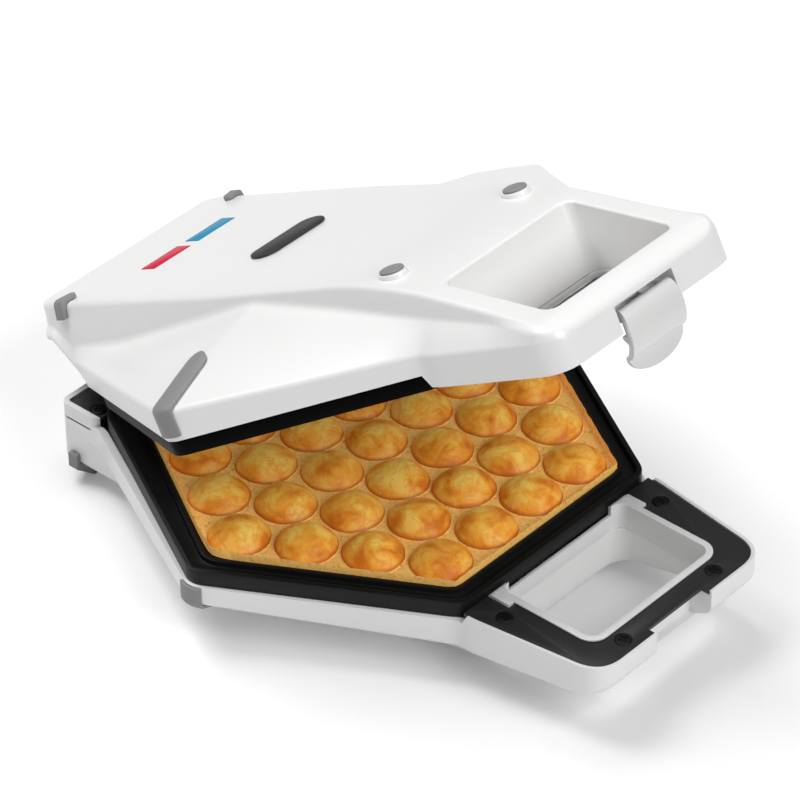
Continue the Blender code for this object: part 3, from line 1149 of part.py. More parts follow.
# Screws through the handle cover and the rear cover into their bosses
def screw(name, x, y, face):
    """Round-head cross screw with its shank."""
    top = face + FIT_GAP + SCREW_HEAD_HEIGHT
    item = rod(name, (x, y, face + FIT_GAP), (x, y, top), SCREW_HEAD_RADIUS, 16)
    shank_top = top - SCREW_HEAD_HEIGHT / 2.0
    join(item, rod("shank", (x, y, shank_top), (x, y, face - SCREW_LENGTH), SCREW_SHANK_RADIUS, 8))
    long = SCREW_HEAD_RADIUS * SCREW_SLOT_SHARE
    thin = SCREW_HEAD_RADIUS * SCREW_SLOT_WIDTH_SHARE
    cross = [(thin, thin), (thin, long), (-thin, long), (-thin, thin), (-long, thin), (-long, -thin),
             (-thin, -thin), (-thin, -long), (thin, -long), (thin, -thin), (long, -thin), (long, thin)]
    slot = [(x + across, y + along) for across, along in cross]
    cut(item, prism("slot", slot, shank_top, top + OVERRUN))
    return item


for word, x, y, face, thickness in screw_places:
    for sign, tag in ((-1.0, "left"), (1.0, "right")):
        base_piece(screw(word + "_" + tag, sign * x, y, face), STEEL)


# Heating: an open loop and a sheet pan behind each plate
def element(name, level):
    """Open round loop with two tails to the back."""
    opening = math.asin(ELEMENT_END_X / ELEMENT_LOOP_RADIUS)
    sweep = 2.0 * math.pi - 2.0 * opening
    arc = [(ELEMENT_LOOP_RADIUS * math.sin(opening + sweep * step / 28.0),
            ELEMENT_LOOP_RADIUS * math.cos(opening + sweep * step / 28.0), level) for step in range(29)]
    route = [(ELEMENT_END_X, ELEMENT_END_Y, level)] + arc + [(-ELEMENT_END_X, ELEMENT_END_Y, level)]
    return tube(name, route, ELEMENT_RADIUS, 8)


def shield(name, side, near, far):
    """Shallow hexagonal sheet pan, open toward the plate, notched at the back."""
    corners = [(SHIELD_APOTHEM * SLANT * math.cos(math.pi / 3.0 * step),
                SHIELD_APOTHEM * SLANT * math.sin(math.pi / 3.0 * step)) for step in range(6)]
    inner_share = 1.0 - SHIELD_SHEET / SHIELD_APOTHEM
    inner = [(x * inner_share, y * inner_share) for x, y in corners]
    low, high = ordered(near, far)
    pan = prism(name, corners, low, high)
    low, high = ordered(near - side * OVERRUN, far - side * SHIELD_SHEET)
    cut(pan, prism("room", inner, low, high))
    low, high = ordered(near - side * OVERRUN, far - side * SHIELD_SHEET)
    cut(pan, box("tails", -SHIELD_REAR_NOTCH_HALF, SHIELD_REAR_NOTCH_HALF, 0.0, BODY_SIDE_REACH, low, high))
    return pan


lower_back = lower_tip - PLATE_WALL - FIT_GAP
lower_element_level = lower_back - ELEMENT_RADIUS
base_piece(element("lower_element", lower_element_level), STEEL)
shield_floor = lower_element_level - ELEMENT_RADIUS - FIT_GAP - SHIELD_SHEET
base_piece(shield("lower_heat_shield", -1.0, lower_back, shield_floor), STEEL, False)
upper_back = upper_tip + PLATE_WALL + FIT_GAP
upper_element_level = upper_back + ELEMENT_RADIUS
lid_piece(element("upper_element", upper_element_level), STEEL)
shield_roof = upper_element_level + ELEMENT_RADIUS + FIT_GAP + SHIELD_SHEET
lid_piece(shield("upper_heat_shield", 1.0, upper_back, shield_roof), STEEL, False)

# Thermostat and fuse under the lower plate
base_piece(rod("thermostat", (0.0, 0.0, lower_back), (0.0, 0.0, lower_back - THERMOSTAT_HEIGHT),
               THERMOSTAT_RADIUS, 20), STEEL)
fuse_level = lower_back - FUSE_RADIUS
base_piece(rod("thermal_fuse", (BUBBLE_PITCH - FUSE_HALF_LENGTH, 0.0, fuse_level),
               (BUBBLE_PITCH + FUSE_HALF_LENGTH, 0.0, fuse_level), FUSE_RADIUS, 12), WHITE_PLASTIC)

# Terminal block, leads and cord inlet at the back
floor_in = -CROWN_HEIGHT + SHELL_WALL + FIT_GAP
terminal_top = floor_in + TERMINAL_HEIGHT
base_piece(box("terminal_block", -TERMINAL_HALF, TERMINAL_HALF, TERMINAL_FRONT, TERMINAL_REAR, floor_in,
               terminal_top), CERAMIC, False)
for sign, tag in ((-1.0, "left"), (1.0, "right")):
    start = Vector((sign * ELEMENT_END_X, ELEMENT_END_Y + FIT_GAP, lower_element_level))
    end = Vector((sign * LEAD_END_X, TERMINAL_FRONT - FIT_GAP, terminal_top - LEAD_RADIUS * 2.0))
    path = []
    for step in range(7):
        share = step / 6.0
        ease = share * share * (3.0 - 2.0 * share)
        path.append((start.x + (end.x - start.x) * ease, start.y + (end.y - start.y) * share,
                     start.z + (end.z - start.z) * ease))
    base_piece(tube("lead_" + tag, path, LEAD_RADIUS, 8), LEAD_SLEEVE)
inlet = rod("cord_inlet", (0.0, BOX_REAR - SHELL_WALL - INLET_REACH, inlet_z),
            (0.0, BOX_REAR + INLET_REACH, inlet_z), INLET_RADIUS, 20)
join(inlet, rod("flange", (0.0, BOX_REAR + FIT_GAP, inlet_z),
                (0.0, BOX_REAR + INLET_FLANGE_THICKNESS, inlet_z), INLET_FLANGE_RADIUS, 20))
cut(inlet, rod("bore", (0.0, BOX_REAR - OVERRUN, inlet_z), (0.0, BOX_REAR + OVERRUN, inlet_z),
               INLET_BORE_RADIUS, 20))
base_piece(inlet, BLACK_PLASTIC)

# Everything stands in its place; the lid turns about the hinge, the lever about its pin
hinge = Vector((0.0, HINGE_Y, HINGE_HEIGHT))
lid_pivot = bpy.data.objects.new("lid_pivot", None)
latch_pivot = bpy.data.objects.new("latch_pivot", None)
for holder in (lid_pivot, latch_pivot):
    bpy.context.scene.collection.objects.link(holder)
lid_pivot.location = PLACE + hinge
lid_pivot.rotation_euler = (-REST_OPENING, 0.0, 0.0)
latch_pivot.parent = lid_pivot
latch_pivot.location = Vector(pivot) - hinge
for piece in base_pieces:
    piece.data.transform(Matrix.Translation(PLACE))
for piece in lid_pieces:
    piece.data.transform(Matrix.Translation(-hinge))
    piece.parent = lid_pivot
for piece in latch_pieces:
    piece.data.transform(Matrix.Translation(-Vector(pivot)))
    piece.parent = latch_pivot
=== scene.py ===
# %% [markdown]
# # A bubble waffle maker, dressed step by step
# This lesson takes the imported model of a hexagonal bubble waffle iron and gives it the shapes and
# finishes of the real one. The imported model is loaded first, as a fixed frame that is never moved.
# Each later step makes one piece finer, or gives a carried-over piece its material.

# %% Load the frame
import math
import bpy
import bmesh
from mathutils import Matrix, Vector


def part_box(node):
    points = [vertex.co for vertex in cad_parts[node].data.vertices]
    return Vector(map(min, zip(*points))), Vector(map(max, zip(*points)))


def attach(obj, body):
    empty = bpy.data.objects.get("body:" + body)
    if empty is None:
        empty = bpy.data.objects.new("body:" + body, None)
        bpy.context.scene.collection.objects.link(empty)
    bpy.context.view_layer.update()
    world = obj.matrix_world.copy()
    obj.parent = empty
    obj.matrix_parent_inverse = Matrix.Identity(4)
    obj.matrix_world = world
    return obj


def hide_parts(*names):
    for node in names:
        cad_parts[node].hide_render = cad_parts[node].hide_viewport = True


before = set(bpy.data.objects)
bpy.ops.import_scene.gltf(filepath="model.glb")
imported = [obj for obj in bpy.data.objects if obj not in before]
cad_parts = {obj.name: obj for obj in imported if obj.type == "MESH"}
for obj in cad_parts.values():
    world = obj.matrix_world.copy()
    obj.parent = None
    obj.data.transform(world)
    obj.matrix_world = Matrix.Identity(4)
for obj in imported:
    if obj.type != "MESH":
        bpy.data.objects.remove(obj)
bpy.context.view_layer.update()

print("frame pieces:", len(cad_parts))

# %% [markdown]
# ## The place of things
# All shapes are laid out about the waffle: its centre in plan, its flat face as height zero, the
# handle toward -Y. The lower plate of the frame tells where that point stands. The lid is drawn shut,
# over the base, because its sizes are simple there, and is then turned about the hinge to its rest.

# %% Waffle centre, hinge and the two placings
RIM_APOTHEM = 0.0985
RIM_TOP = 0.001
plate_low, plate_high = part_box("lower_plate")
WAFFLE_CENTRE = Vector((0.0, plate_low[1] + RIM_APOTHEM, plate_high[2] - RIM_TOP))
HINGE = Vector((0.0, 0.1266, 0.0253))
REST_OPENING = math.radians(27.4)
STANDING = Matrix.Translation(WAFFLE_CENTRE)
OPENED = (Matrix.Translation(WAFFLE_CENTRE + HINGE) @ Matrix.Rotation(-REST_OPENING, 4, "X")
          @ Matrix.Translation(-HINGE))
print("waffle centre", tuple(round(value, 5) for value in WAFFLE_CENTRE))

# %% [markdown]
# ## The camera
# The photograph was fitted with a long lens from the front left, a little above the lid. The camera is
# built from its three axes, so that a small roll can be kept without guessing at Euler angles.

# %% Camera at the photograph's viewing angle
PHOTO_SIDE = 800
FOCAL_PIXELS = 4714.7
SENSOR_WIDTH = 36.0
AZIMUTH = math.radians(-47.82)
ELEVATION = math.radians(37.32)
ROLL = math.radians(-0.74)
CAMERA_OFFSET = Vector((-1.1478, -1.0534, 1.2093))

backward = Vector((math.sin(AZIMUTH) * math.cos(ELEVATION),
                   -math.cos(AZIMUTH) * math.cos(ELEVATION), math.sin(ELEVATION)))
level = Vector((math.cos(AZIMUTH), math.sin(AZIMUTH), 0.0))
upward = backward.cross(level)
right = math.cos(ROLL) * level + math.sin(ROLL) * upward
up = -math.sin(ROLL) * level + math.cos(ROLL) * upward
lens_data = bpy.data.cameras.new("photo_camera")
lens_data.sensor_fit = "HORIZONTAL"
lens_data.sensor_width = SENSOR_WIDTH
lens_data.lens = FOCAL_PIXELS * SENSOR_WIDTH / PHOTO_SIDE
lens_data.clip_end = 20.0
camera = bpy.data.objects.new("photo_camera", lens_data)
bpy.context.scene.collection.objects.link(camera)
camera.matrix_world = (Matrix.Translation(WAFFLE_CENTRE + CAMERA_OFFSET)
                       @ Matrix((right, up, backward)).transposed().to_4x4())
bpy.context.scene.camera = camera
print("lens", round(lens_data.lens, 1), "mm")

# %% [markdown]
# ## Finishes
# The iron is moulded plastic, rubber and coated aluminium. Real mouldings are never perfectly even:
# the tool leaves a fine spark-eroded grain, and hands leave the gloss a little uneven. Both come from
# one shader group that every moulded finish uses with its own numbers. It reads Object coordinates,
# so the grain keeps its real size on each piece.

# %% Node and material helpers
def feed(tree, target, values):
    """Set or link inputs of a node by name or number."""
    for key, value in values.items():
        if isinstance(value, bpy.types.NodeSocket):
            tree.links.new(value, target.inputs[key])
        else:
            target.inputs[key].default_value = value


def node(tree, kind, values=None, **settings):
    """Add a node, set its fields and feed its inputs."""
    made = tree.nodes.new(kind)
    for key, value in settings.items():
        setattr(made, key, value)
    feed(tree, made, values or {})
    return made


def noise(tree, spot, scale, detail=2.0, distortion=0.0):
    """Noise read at a spot."""
    made = node(tree, "ShaderNodeTexNoise", {"Vector": spot, "Scale": scale, "Detail": detail,
                                             "Distortion": distortion})
    return made.outputs["Fac"]


def object_spot(tree):
    return node(tree, "ShaderNodeTexCoord").outputs["Object"]


def new_group(name, kind, inputs, outputs):
    """An empty node group with named sockets, and the two nodes that stand for them."""
    tree = bpy.data.node_groups.new(name, kind)
    for title, sort, value in inputs:
        socket = tree.interface.new_socket(title, in_out="INPUT", socket_type="NodeSocket" + sort)
        if value is not None:
            socket.default_value = value
    for title, sort in outputs:
        tree.interface.new_socket(title, in_out="OUTPUT", socket_type="NodeSocket" + sort)
    return tree, node(tree, "NodeGroupInput").outputs, node(tree, "NodeGroupOutput")


def new_finish(name, constants):
    """A new material with its tree and its Principled shader, whose constants are set on the shader."""
    surface = bpy.data.materials.new(name)
    surface.use_nodes = True
    tree = surface.node_tree
    shader = tree.nodes["Principled BSDF"]
    feed(tree, shader, constants)
    return surface, tree, shader


def bumped(tree, shader, height, strength, distance):
    """Let a height feed the shader's normal."""
    bump = node(tree, "ShaderNodeBump", {"Height": height, "Strength": strength, "Distance": distance})
    feed(tree, shader, {"Normal": bump.outputs["Normal"]})


def two_tone(tree, shader, mask, deep, light, smooth, rough):
    """Let one mask carry the colour between two tones and the roughness between two values."""
    tone = node(tree, "ShaderNodeValToRGB", {"Fac": mask})
    for step, colour in zip(tone.color_ramp.elements, (deep, light)):
        step.color = (*colour, 1.0)
    gloss = node(tree, "ShaderNodeMapRange", {"Value": mask, "To Min": smooth, "To Max": rough})
    feed(tree, shader, {"Base Color": tone.outputs["Color"], "Roughness": gloss.outputs["Result"]})

# %% Shared shader group: moulded grain
GRAIN_SCALE = 2500.0
GRAIN_DEPTH = 0.0002
GLOSS_CHANGE = 0.05
COAT_ROUGHNESS = 0.12


def moulded_grain_group():
    """Even colour, uneven gloss and a fine grain height for moulded pieces."""
    tree, given, put_out = new_group(
        "moulded_grain", "ShaderNodeTree",
        (("Colour", "Color", (0.8, 0.8, 0.8, 1.0)), ("Tone change", "Float", 0.02),
         ("Roughness", "Float", 0.3), ("Roughness change", "Float", GLOSS_CHANGE),
         ("Grain scale", "Float", GRAIN_SCALE)),
        (("Colour", "Color"), ("Roughness", "Float"), ("Height", "Float")))
    spot = object_spot(tree)
    broad = node(tree, "ShaderNodeMapRange", {"Value": noise(tree, spot, 22.0), "To Min": -1.0,
                                              "To Max": 1.0})
    swing = broad.outputs["Result"]
    change = node(tree, "ShaderNodeMath", {0: swing, 1: given["Tone change"], 2: 1.0},
                  operation="MULTIPLY_ADD")
    tone = node(tree, "ShaderNodeHueSaturation", {"Value": change.outputs["Value"],
                                                  "Color": given["Colour"]})
    gloss = node(tree, "ShaderNodeMath", {0: swing, 1: given["Roughness change"], 2: given["Roughness"]},
                 operation="MULTIPLY_ADD")
    feed(tree, put_out, {"Colour": tone.outputs["Color"], "Roughness": gloss.outputs["Value"],
                         "Height": noise(tree, spot, given["Grain scale"], 1.0)})
    return tree


MOULDED_GRAIN = moulded_grain_group()


def moulded(name, colour, roughness, grain, coat=0.0, tone=0.02):
    """A moulded finish: the shared grain feeding one Principled shader."""
    surface, tree, shader = new_finish(name, {"Coat Weight": coat, "Coat Roughness": COAT_ROUGHNESS})
    look = node(tree, "ShaderNodeGroup",
                {"Colour": (*colour, 1.0), "Tone change": tone, "Roughness": roughness,
                 "Roughness change": GLOSS_CHANGE, "Grain scale": GRAIN_SCALE}, node_tree=MOULDED_GRAIN)
    feed(tree, shader, {"Base Color": look.outputs["Colour"], "Roughness": look.outputs["Roughness"]})
    bumped(tree, shader, look.outputs["Height"], grain, GRAIN_DEPTH)
    return surface


WHITE_SHELL = moulded("white_shell_plastic", (0.83, 0.83, 0.825), 0.32, 0.05, 0.15)
GREY_TRIM = moulded("grey_trim_rubber", (0.245, 0.245, 0.242), 0.55, 0.15, tone=0.05)
WHITE_LEVER = moulded("white_lever_plastic", (0.72, 0.72, 0.715), 0.34, 0.06, 0.1)
BLACK_COVER = moulded("black_cover_plastic", (0.021, 0.021, 0.022), 0.45, 0.2, tone=0.08)
BADGE_DARK = moulded("badge_dark_metal", (0.020, 0.020, 0.021), 0.5, 0.1, tone=0.1)
LEAD_SLEEVE = moulded("lead_sleeve_rubber", (0.45, 0.10, 0.06), 0.5, 0.2, tone=0.1)
CERAMIC = moulded("terminal_ceramic", (0.72, 0.69, 0.60), 0.5, 0.2, tone=0.06)
print("moulded finishes:", len(bpy.data.materials))

# %% [markdown]
# The cooking plates are cast aluminium with a sprayed non-stick coat. Up close it is a soft black with
# a very fine orange peel, so its bump is broader than the plastic's grain, and a broad noise makes its
# tone and its gloss a little uneven.

# %% Non-stick coat
def coated(name, deep, light, shine):
    """Sprayed coat over cast metal, between two near-black tones."""
    surface, tree, shader = new_finish(name, {"Specular IOR Level": shine})
    spot = object_spot(tree)
    two_tone(tree, shader, noise(tree, spot, 30.0), (deep,) * 3, (light,) * 3, 0.34, 0.48)
    bumped(tree, shader, noise(tree, spot, 900.0, 3.0), 0.25, 0.0003)
    return surface


LOWER_COAT = coated("lower_plate_coat", 0.005, 0.011, 0.20)
# The upper plate gets a darker, less shiny copy of the same coat: painted shade for the plate under the lid.
SHADED_UPPER_COAT = coated("upper_plate_coat", 0.001, 0.003, 0.04)
print("coats:", LOWER_COAT.name, SHADED_UPPER_COAT.name)

# %% [markdown]
# Screws, pins and the heating parts are bare steel. A stretched noise gives the faint drawing lines
# that such parts keep from the mill.

# %% Bare steel
def bare_steel(name, colour, roughness):
    """Metal with faint drawing lines along X."""
    surface, tree, shader = new_finish(name, {"Metallic": 1.0})
    stretch = node(tree, "ShaderNodeMapping", {"Vector": object_spot(tree),
                                               "Scale": (60.0, 2600.0, 2600.0)})
    lines = noise(tree, stretch.outputs["Vector"], 1.0)
    two_tone(tree, shader, lines, [value * 0.8 for value in colour], colour, roughness * 0.8,
             roughness * 1.3)
    return surface


STEEL = bare_steel("drawn_steel", (0.55, 0.55, 0.56), 0.3)
BLACKENED_STEEL = bare_steel("blackened_screw_steel", (0.036, 0.036, 0.038), 0.5)
print("steels:", STEEL.name, BLACKENED_STEEL.name)

# %% [markdown]
# The two lights in the lid show as flat bars of tinted plastic. Fine moulded lines run across the back
# of such lenses, so their colour changes a little in thin bands.

# %% Tinted lenses
def tinted_lens(name, deep, light):
    """Tinted plastic with fine moulded bands."""
    surface, tree, shader = new_finish(name, {"Specular IOR Level": 0.03})
    bands = node(tree, "ShaderNodeTexWave", {"Vector": object_spot(tree), "Scale": 350.0,
                                             "Distortion": 0.4}, wave_type="BANDS", bands_direction="X")
    two_tone(tree, shader, bands.outputs["Fac"], deep, light, 0.22, 0.32)
    return surface


RED_LENS = tinted_lens("red_lens_plastic", (0.58, 0.020, 0.050), (0.66, 0.030, 0.062))
BLUE_LENS = tinted_lens("blue_lens_plastic", (0.026, 0.25, 0.42), (0.038, 0.29, 0.47))
print("lenses:", RED_LENS.name, BLUE_LENS.name)

# %% [markdown]
# ## Mesh tools
# Every moulding here is a skin over rings of points, a raised outline, or a cut between two such
# solids. These few helpers make them. A finished piece has its doubles merged and its faces turned
# outward before it gets its place, its finish and the body that it rides on.

# %% Skins, raised outlines and cuts
def new_item(name, shape):
    """Turn a bmesh into an object, merged and facing outward."""
    bmesh.ops.remove_doubles(shape, verts=shape.verts, dist=1e-6)
    bmesh.ops.dissolve_degenerate(shape, edges=shape.edges, dist=1e-7)
    bmesh.ops.recalc_face_normals(shape, faces=shape.faces)
    data = bpy.data.meshes.new(name)
    shape.to_mesh(data)
    shape.free()
    item = bpy.data.objects.new(name, data)
    bpy.context.scene.collection.objects.link(item)
    return item


def skin(name, rings):
    """Skin a run of equal rings and cap both ends."""
    shape = bmesh.new()
    rows = [[shape.verts.new(point) for point in ring] for ring in rings]
    count = len(rings[0])
    for near, far in zip(rows, rows[1:]):
        for index in range(count):
            after = (index + 1) % count
            shape.faces.new((near[index], near[after], far[after], far[index]))
    shape.faces.new(rows[0])
    shape.faces.new(rows[-1])
    return new_item(name, shape)


def at_height(outline, z):
    """A plan outline as a ring at one height."""
    return [(x, y, z) for x, y in outline]


def raised(name, outline, low, high, bevel=0.0, steps=3):
    """Raise a plan outline between two heights, with its top and bottom edges rounded."""
    if bevel == 0.0:
        return skin(name, [at_height(outline, z) for z in (low, high)])
    turns = [math.pi / 2.0 * step / steps for step in range(steps + 1)]
    rows = [(turn, low, 1.0) for turn in turns]
    rows += [(turn, high, -1.0) for turn in reversed(turns)]
    return skin(name, [at_height(shrunk(outline, bevel * (1.0 - math.sin(turn))),
                                 end + toward * bevel * (1.0 - math.cos(turn)))
                       for turn, end, toward in rows])


def shrunk(outline, inset):
    """Draw a smooth closed outline in by an even amount."""
    if inset == 0.0:
        return list(outline)
    area = sum(a[0] * b[1] - b[0] * a[1] for a, b in zip(outline, outline[1:] + outline[:1]))
    turn = 1.0 if area > 0.0 else -1.0
    points = []
    for index, (x, y) in enumerate(outline):
        back = Vector((x, y)) - Vector(outline[index - 1])
        on = Vector(outline[(index + 1) % len(outline)]) - Vector((x, y))
        back.normalize()
        on.normalize()
        lean = back + on
        if lean.length < 1e-6:
            lean = on
        lean.normalize()
        stretch = min(1.0 / max(lean.dot(on), 0.3), 3.0)
        points.append((x - turn * lean.y * inset * stretch, y + turn * lean.x * inset * stretch))
    return points


def settle(item):
    """Apply the modifiers of an object to its mesh."""
    graph = bpy.context.evaluated_depsgraph_get()
    graph.update()
    done = bpy.data.meshes.new_from_object(item.evaluated_get(graph))
    item.modifiers.clear()
    item.data = done
    return item


def combine(item, tool, operation):
    """Boolean one object with another and use the second up."""
    change = item.modifiers.new(operation, "BOOLEAN")
    change.operation = operation
    change.solver = "EXACT"
    change.object = tool
    settle(item)
    bpy.data.objects.remove(tool, do_unlink=True)
    return item


def cut(item, tool):
    return combine(item, tool, "DIFFERENCE")


def join(item, tool):
    return combine(item, tool, "UNION")


def clip(item, tool):
    return combine(item, tool, "INTERSECT")


def block(name, left, right, front, rear, low, high):
    """Plain cutting block between six planes."""
    return raised(name, [(left, front), (right, front), (right, rear), (left, rear)], low, high)

# %% [markdown]
# A moulding has no knife edges, so most pieces get a small bevel. Then each one is placed: drawn shut
# about the waffle, it is moved to where the base stands or turned with the lid.

# %% Placing a finished piece
def soften(item, width, steps=2, angle=50.0):
    """Round the sharp edges of a piece."""
    edge = item.modifiers.new("edge", "BEVEL")
    edge.width = width
    edge.segments = steps
    edge.limit_method = "ANGLE"
    edge.angle_limit = math.radians(angle)
    edge.use_clamp_overlap = True
    return settle(item)


def place(item, body, surface, *nodes, angle=40.0):
    """Give a piece its finish and its place, put it on its body and hide the frame pieces it replaces."""
    shape = bmesh.new()
    shape.from_mesh(item.data)
    bmesh.ops.remove_doubles(shape, verts=shape.verts, dist=1e-6)
    shape.to_mesh(item.data)
    shape.free()
    item.data.transform(OPENED if body in ("lid", "latch") else STANDING)
    item.data.materials.clear()
    item.data.materials.append(surface)
    for face in item.data.polygons:
        face.material_index = 0
        face.use_smooth = True
    item.data.set_sharp_from_angle(angle=math.radians(angle))
    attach(item, body)
    if nodes:
        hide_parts(*nodes)
    print(item.name, len(item.data.polygons), "faces")
    return item

# %% [markdown]
# Plans are drawn as corner points and rounded afterwards. An open chain is drawn for the right half
# only and closed by its mirror image, so both sides of the iron are alike by construction.

# %% Rounded outlines
def fillet(chain, radii, steps):
    """Replace the inner corners of an open chain by arcs that fit their neighbours."""
    points = [tuple(chain[0])]
    for index in range(1, len(chain) - 1):
        here = Vector(chain[index])
        back = Vector(chain[index - 1]) - here
        on = Vector(chain[index + 1]) - here
        room = min(back.length, on.length) * 0.48
        if room < 1e-9:
            points.extend([tuple(here)] * (steps + 1))
            continue
        half = back.angle(on) / 2.0
        reach = radii[index - 1] / max(math.tan(half), 1e-6)
        reach = min(reach, room)
        first = here + back.normalized() * reach
        last = here + on.normalized() * reach
        for step in range(steps + 1):
            share = step / steps
            blend = first * (1.0 - share) ** 2 + here * 2.0 * share * (1.0 - share) + last * share ** 2
            points.append(tuple(blend))
    points.append(tuple(chain[-1]))
    return points


def rounded(corners, radius, steps=8):
    """Closed outline with every corner turned into a true arc."""
    points = []
    count = len(corners)
    for index, corner in enumerate(corners):
        here = Vector(corner)
        back = (Vector(corners[index - 1]) - here).normalized()
        on = (Vector(corners[(index + 1) % count]) - here).normalized()
        half = back.angle(on) / 2.0
        reach = radius / math.tan(half)
        centre = here + (back + on).normalized() * (radius / math.sin(half))
        first = here + back * reach - centre
        last = here + on * reach - centre
        sweep = first.angle_signed(last)
        for step in range(steps + 1):
            turned = first.copy()
            turned.rotate(Matrix.Rotation(-sweep * step / steps, 2))
            points.append(tuple(centre + turned))
    return points


def ring_points(centre, radius, count):
    """Points round a circle, anticlockwise."""
    return [(centre[0] + radius * math.cos(2.0 * math.pi * step / count),
             centre[1] + radius * math.sin(2.0 * math.pi * step / count)) for step in range(count)]


def mirrored(chain):
    """Close a right-hand chain with its mirror image."""
    return [tuple(point) for point in chain] + [(-x, y) for x, y in reversed(chain)]


def stepped(stops, y):
    """Piecewise straight value along Y."""
    if y <= stops[0][0]:
        return stops[0][1]
    for (y0, v0), (y1, v1) in zip(stops, stops[1:]):
        if y <= y1:
            return v0 + (v1 - v0) * (y - y0) / (y1 - y0)
    return stops[-1][1]


def half_width(outline, y):
    """Largest X of a plan outline at a given Y, held just inside its ends."""
    depths = [point[1] for point in outline]
    y = min(max(y, min(depths) + 1e-7), max(depths) - 1e-7)
    best = 0.0
    for (x0, y0), (x1, y1) in zip(outline, outline[1:] + outline[:1]):
        if min(y0, y1) <= y <= max(y0, y1) and y0 != y1:
            best = max(best, x0 + (x1 - x0) * (y - y0) / (y1 - y0))
    return best

# %% [markdown]
# ## The two shells
# Each half of the iron is one injection moulding: a flat crown that falls toward the handle, a soft
# cove below it, wide side facets and a low rim round the plate. A person would draw this as a patch of
# surfaces. Here the form follows a rule instead, one cross section at each step along Y, so every
# section is a chain of five corners whose radii are set once, and the skin runs through all sections.

# %% Plan, crown, cove and edge lines of the shells
BODY_APOTHEM = 0.1005
BODY_SIDE = 0.1159
BASE_SIDE = 0.1150
BODY_ROUND = 0.010
NECK_Y = -BODY_APOTHEM
NECK_HALF = 0.0598
NECK_FLAT = 0.0036
NECK_ROUND = 0.004
NOSE_Y = NECK_Y - 0.0650
NOSE_HALF = 0.0519
NOSE_ROUND = 0.014
NOSE_SOFT = 0.008
NOSE_LEAN = 0.263
NOSE_EDGE = 0.0028
NOSE_MERGE_FROM = 0.009
NOSE_MERGE_TO = 0.034
HOOD_FRONT = 0.119
HOOD_REAR = 0.143
CROWN = 0.0386
CROWN_EDGE = 0.0028
CROWN_FALL = 0.255
FALL_START, FALL_END = -0.045, -0.107
COVE_SOFT = 0.0045
EDGE_SOFT = 0.0032
FACET_SWELL = 0.04
EDGE_STRETCH = 1.155
WALL = 0.0025
GAP = 0.0003
SPLIT = -0.0014
LID_RIM = 0.0043
LID_RIM_REAR = 0.1148
BASE_RIM = 0.0068
BOX_HALF = 0.065
BOX_FRONT = 0.079
BOX_RIM_FRONT = 0.1008
BOX_REAR = 0.1226
BOX_DEPTH = 0.031
BOX_ROUND = 0.004
BASE_REAR = BOX_REAR - 0.0002
FAR = 0.065

handle_chain = [(0.0, NOSE_Y), (NOSE_HALF, NOSE_Y), (NECK_HALF, NECK_Y - NECK_FLAT),
                (NECK_HALF, NECK_Y + NECK_FLAT)]
handle_radii = [NOSE_ROUND, NECK_ROUND, NECK_ROUND, BODY_ROUND]
LID_HALF = {
    "side": 1.0, "rear": HOOD_REAR, "rear_soft": 0.003,
    "plan": mirrored(fillet(handle_chain + [(BODY_SIDE, 0.0), (0.061, HOOD_FRONT), (0.0565, HOOD_REAR),
                                            (0.0, HOOD_REAR)], handle_radii + [0.030, 0.011], 10)),
    "rim": [(NECK_Y + 0.0030, SPLIT + 0.0002), (NECK_Y + 0.0054, LID_RIM), (LID_RIM_REAR, LID_RIM),
            (0.133, 0.0244)],
    "edge": [(NECK_Y, 0.0122), (0.0, 0.0175), (HOOD_FRONT, 0.0143)],
    "cove": [(NOSE_Y, 0.0160), (NECK_Y, 0.0232), (0.0, 0.0342), (HOOD_FRONT, 0.0165)],
}
BASE_HALF = {
    "side": -1.0, "rear": BASE_REAR, "rear_soft": 0.002,
    "plan": mirrored(fillet(handle_chain + [(BASE_SIDE, 0.0), (0.0648, BOX_RIM_FRONT), (0.0648, BASE_REAR),
                                            (0.0, BASE_REAR)], handle_radii + [0.001, BOX_ROUND], 10)),
    "rim": [(NECK_Y - 0.0012, 0.0024), (NECK_Y + 0.0012, BASE_RIM)],
    "edge": [(NOSE_Y, 0.0168), (NECK_Y, 0.0200), (0.0, 0.0160), (BOX_RIM_FRONT, 0.0195)],
    "cove": [(NOSE_Y, 0.0192), (NECK_Y, 0.02436), (0.0, 0.0342), (BOX_RIM_FRONT, 0.02145)],
}


def round_drop(radius, reach):
    """How far a quarter round of a radius lies below its top, at a reach from its outer end."""
    if reach >= radius:
        return 0.0
    return radius - math.sqrt(max(radius ** 2 - (radius - reach) ** 2, 0.0))


def crown_level(y, half):
    """Height of the flat crown along Y, with its fall to the nose and its soft ends."""
    if y >= FALL_START:
        height = CROWN
    elif y >= FALL_END:
        height = CROWN - CROWN_FALL * (FALL_START - y) ** 2 / (2.0 * (FALL_START - FALL_END))
    else:
        height = CROWN - CROWN_FALL * ((FALL_START - FALL_END) / 2.0 + FALL_END - y)
    from_nose = y - NOSE_Y
    height -= NOSE_LEAN * max(NOSE_SOFT - from_nose, 0.0)
    return height - round_drop(NOSE_EDGE, from_nose) - round_drop(half["rear_soft"], half["rear"] - y)


print("lid", round(max(x for x, y in LID_HALF["plan"]) * 2000.0, 1), "mm wide,",
      round((HOOD_REAR - NOSE_Y) * 1000.0, 1), "mm long")

# %% [markdown]
# The five corners of a section are the crown's middle and edge, the foot of the cove, the body's edge
# and the rim. Toward the nose the crown edge and the body edge merge into one rounded edge, as they do
# on the real handle, and the facet between cove and edge swells a little so that it never looks flat.

# %% One cross section
FACET_SHARES = (0.25, 0.5, 0.75)


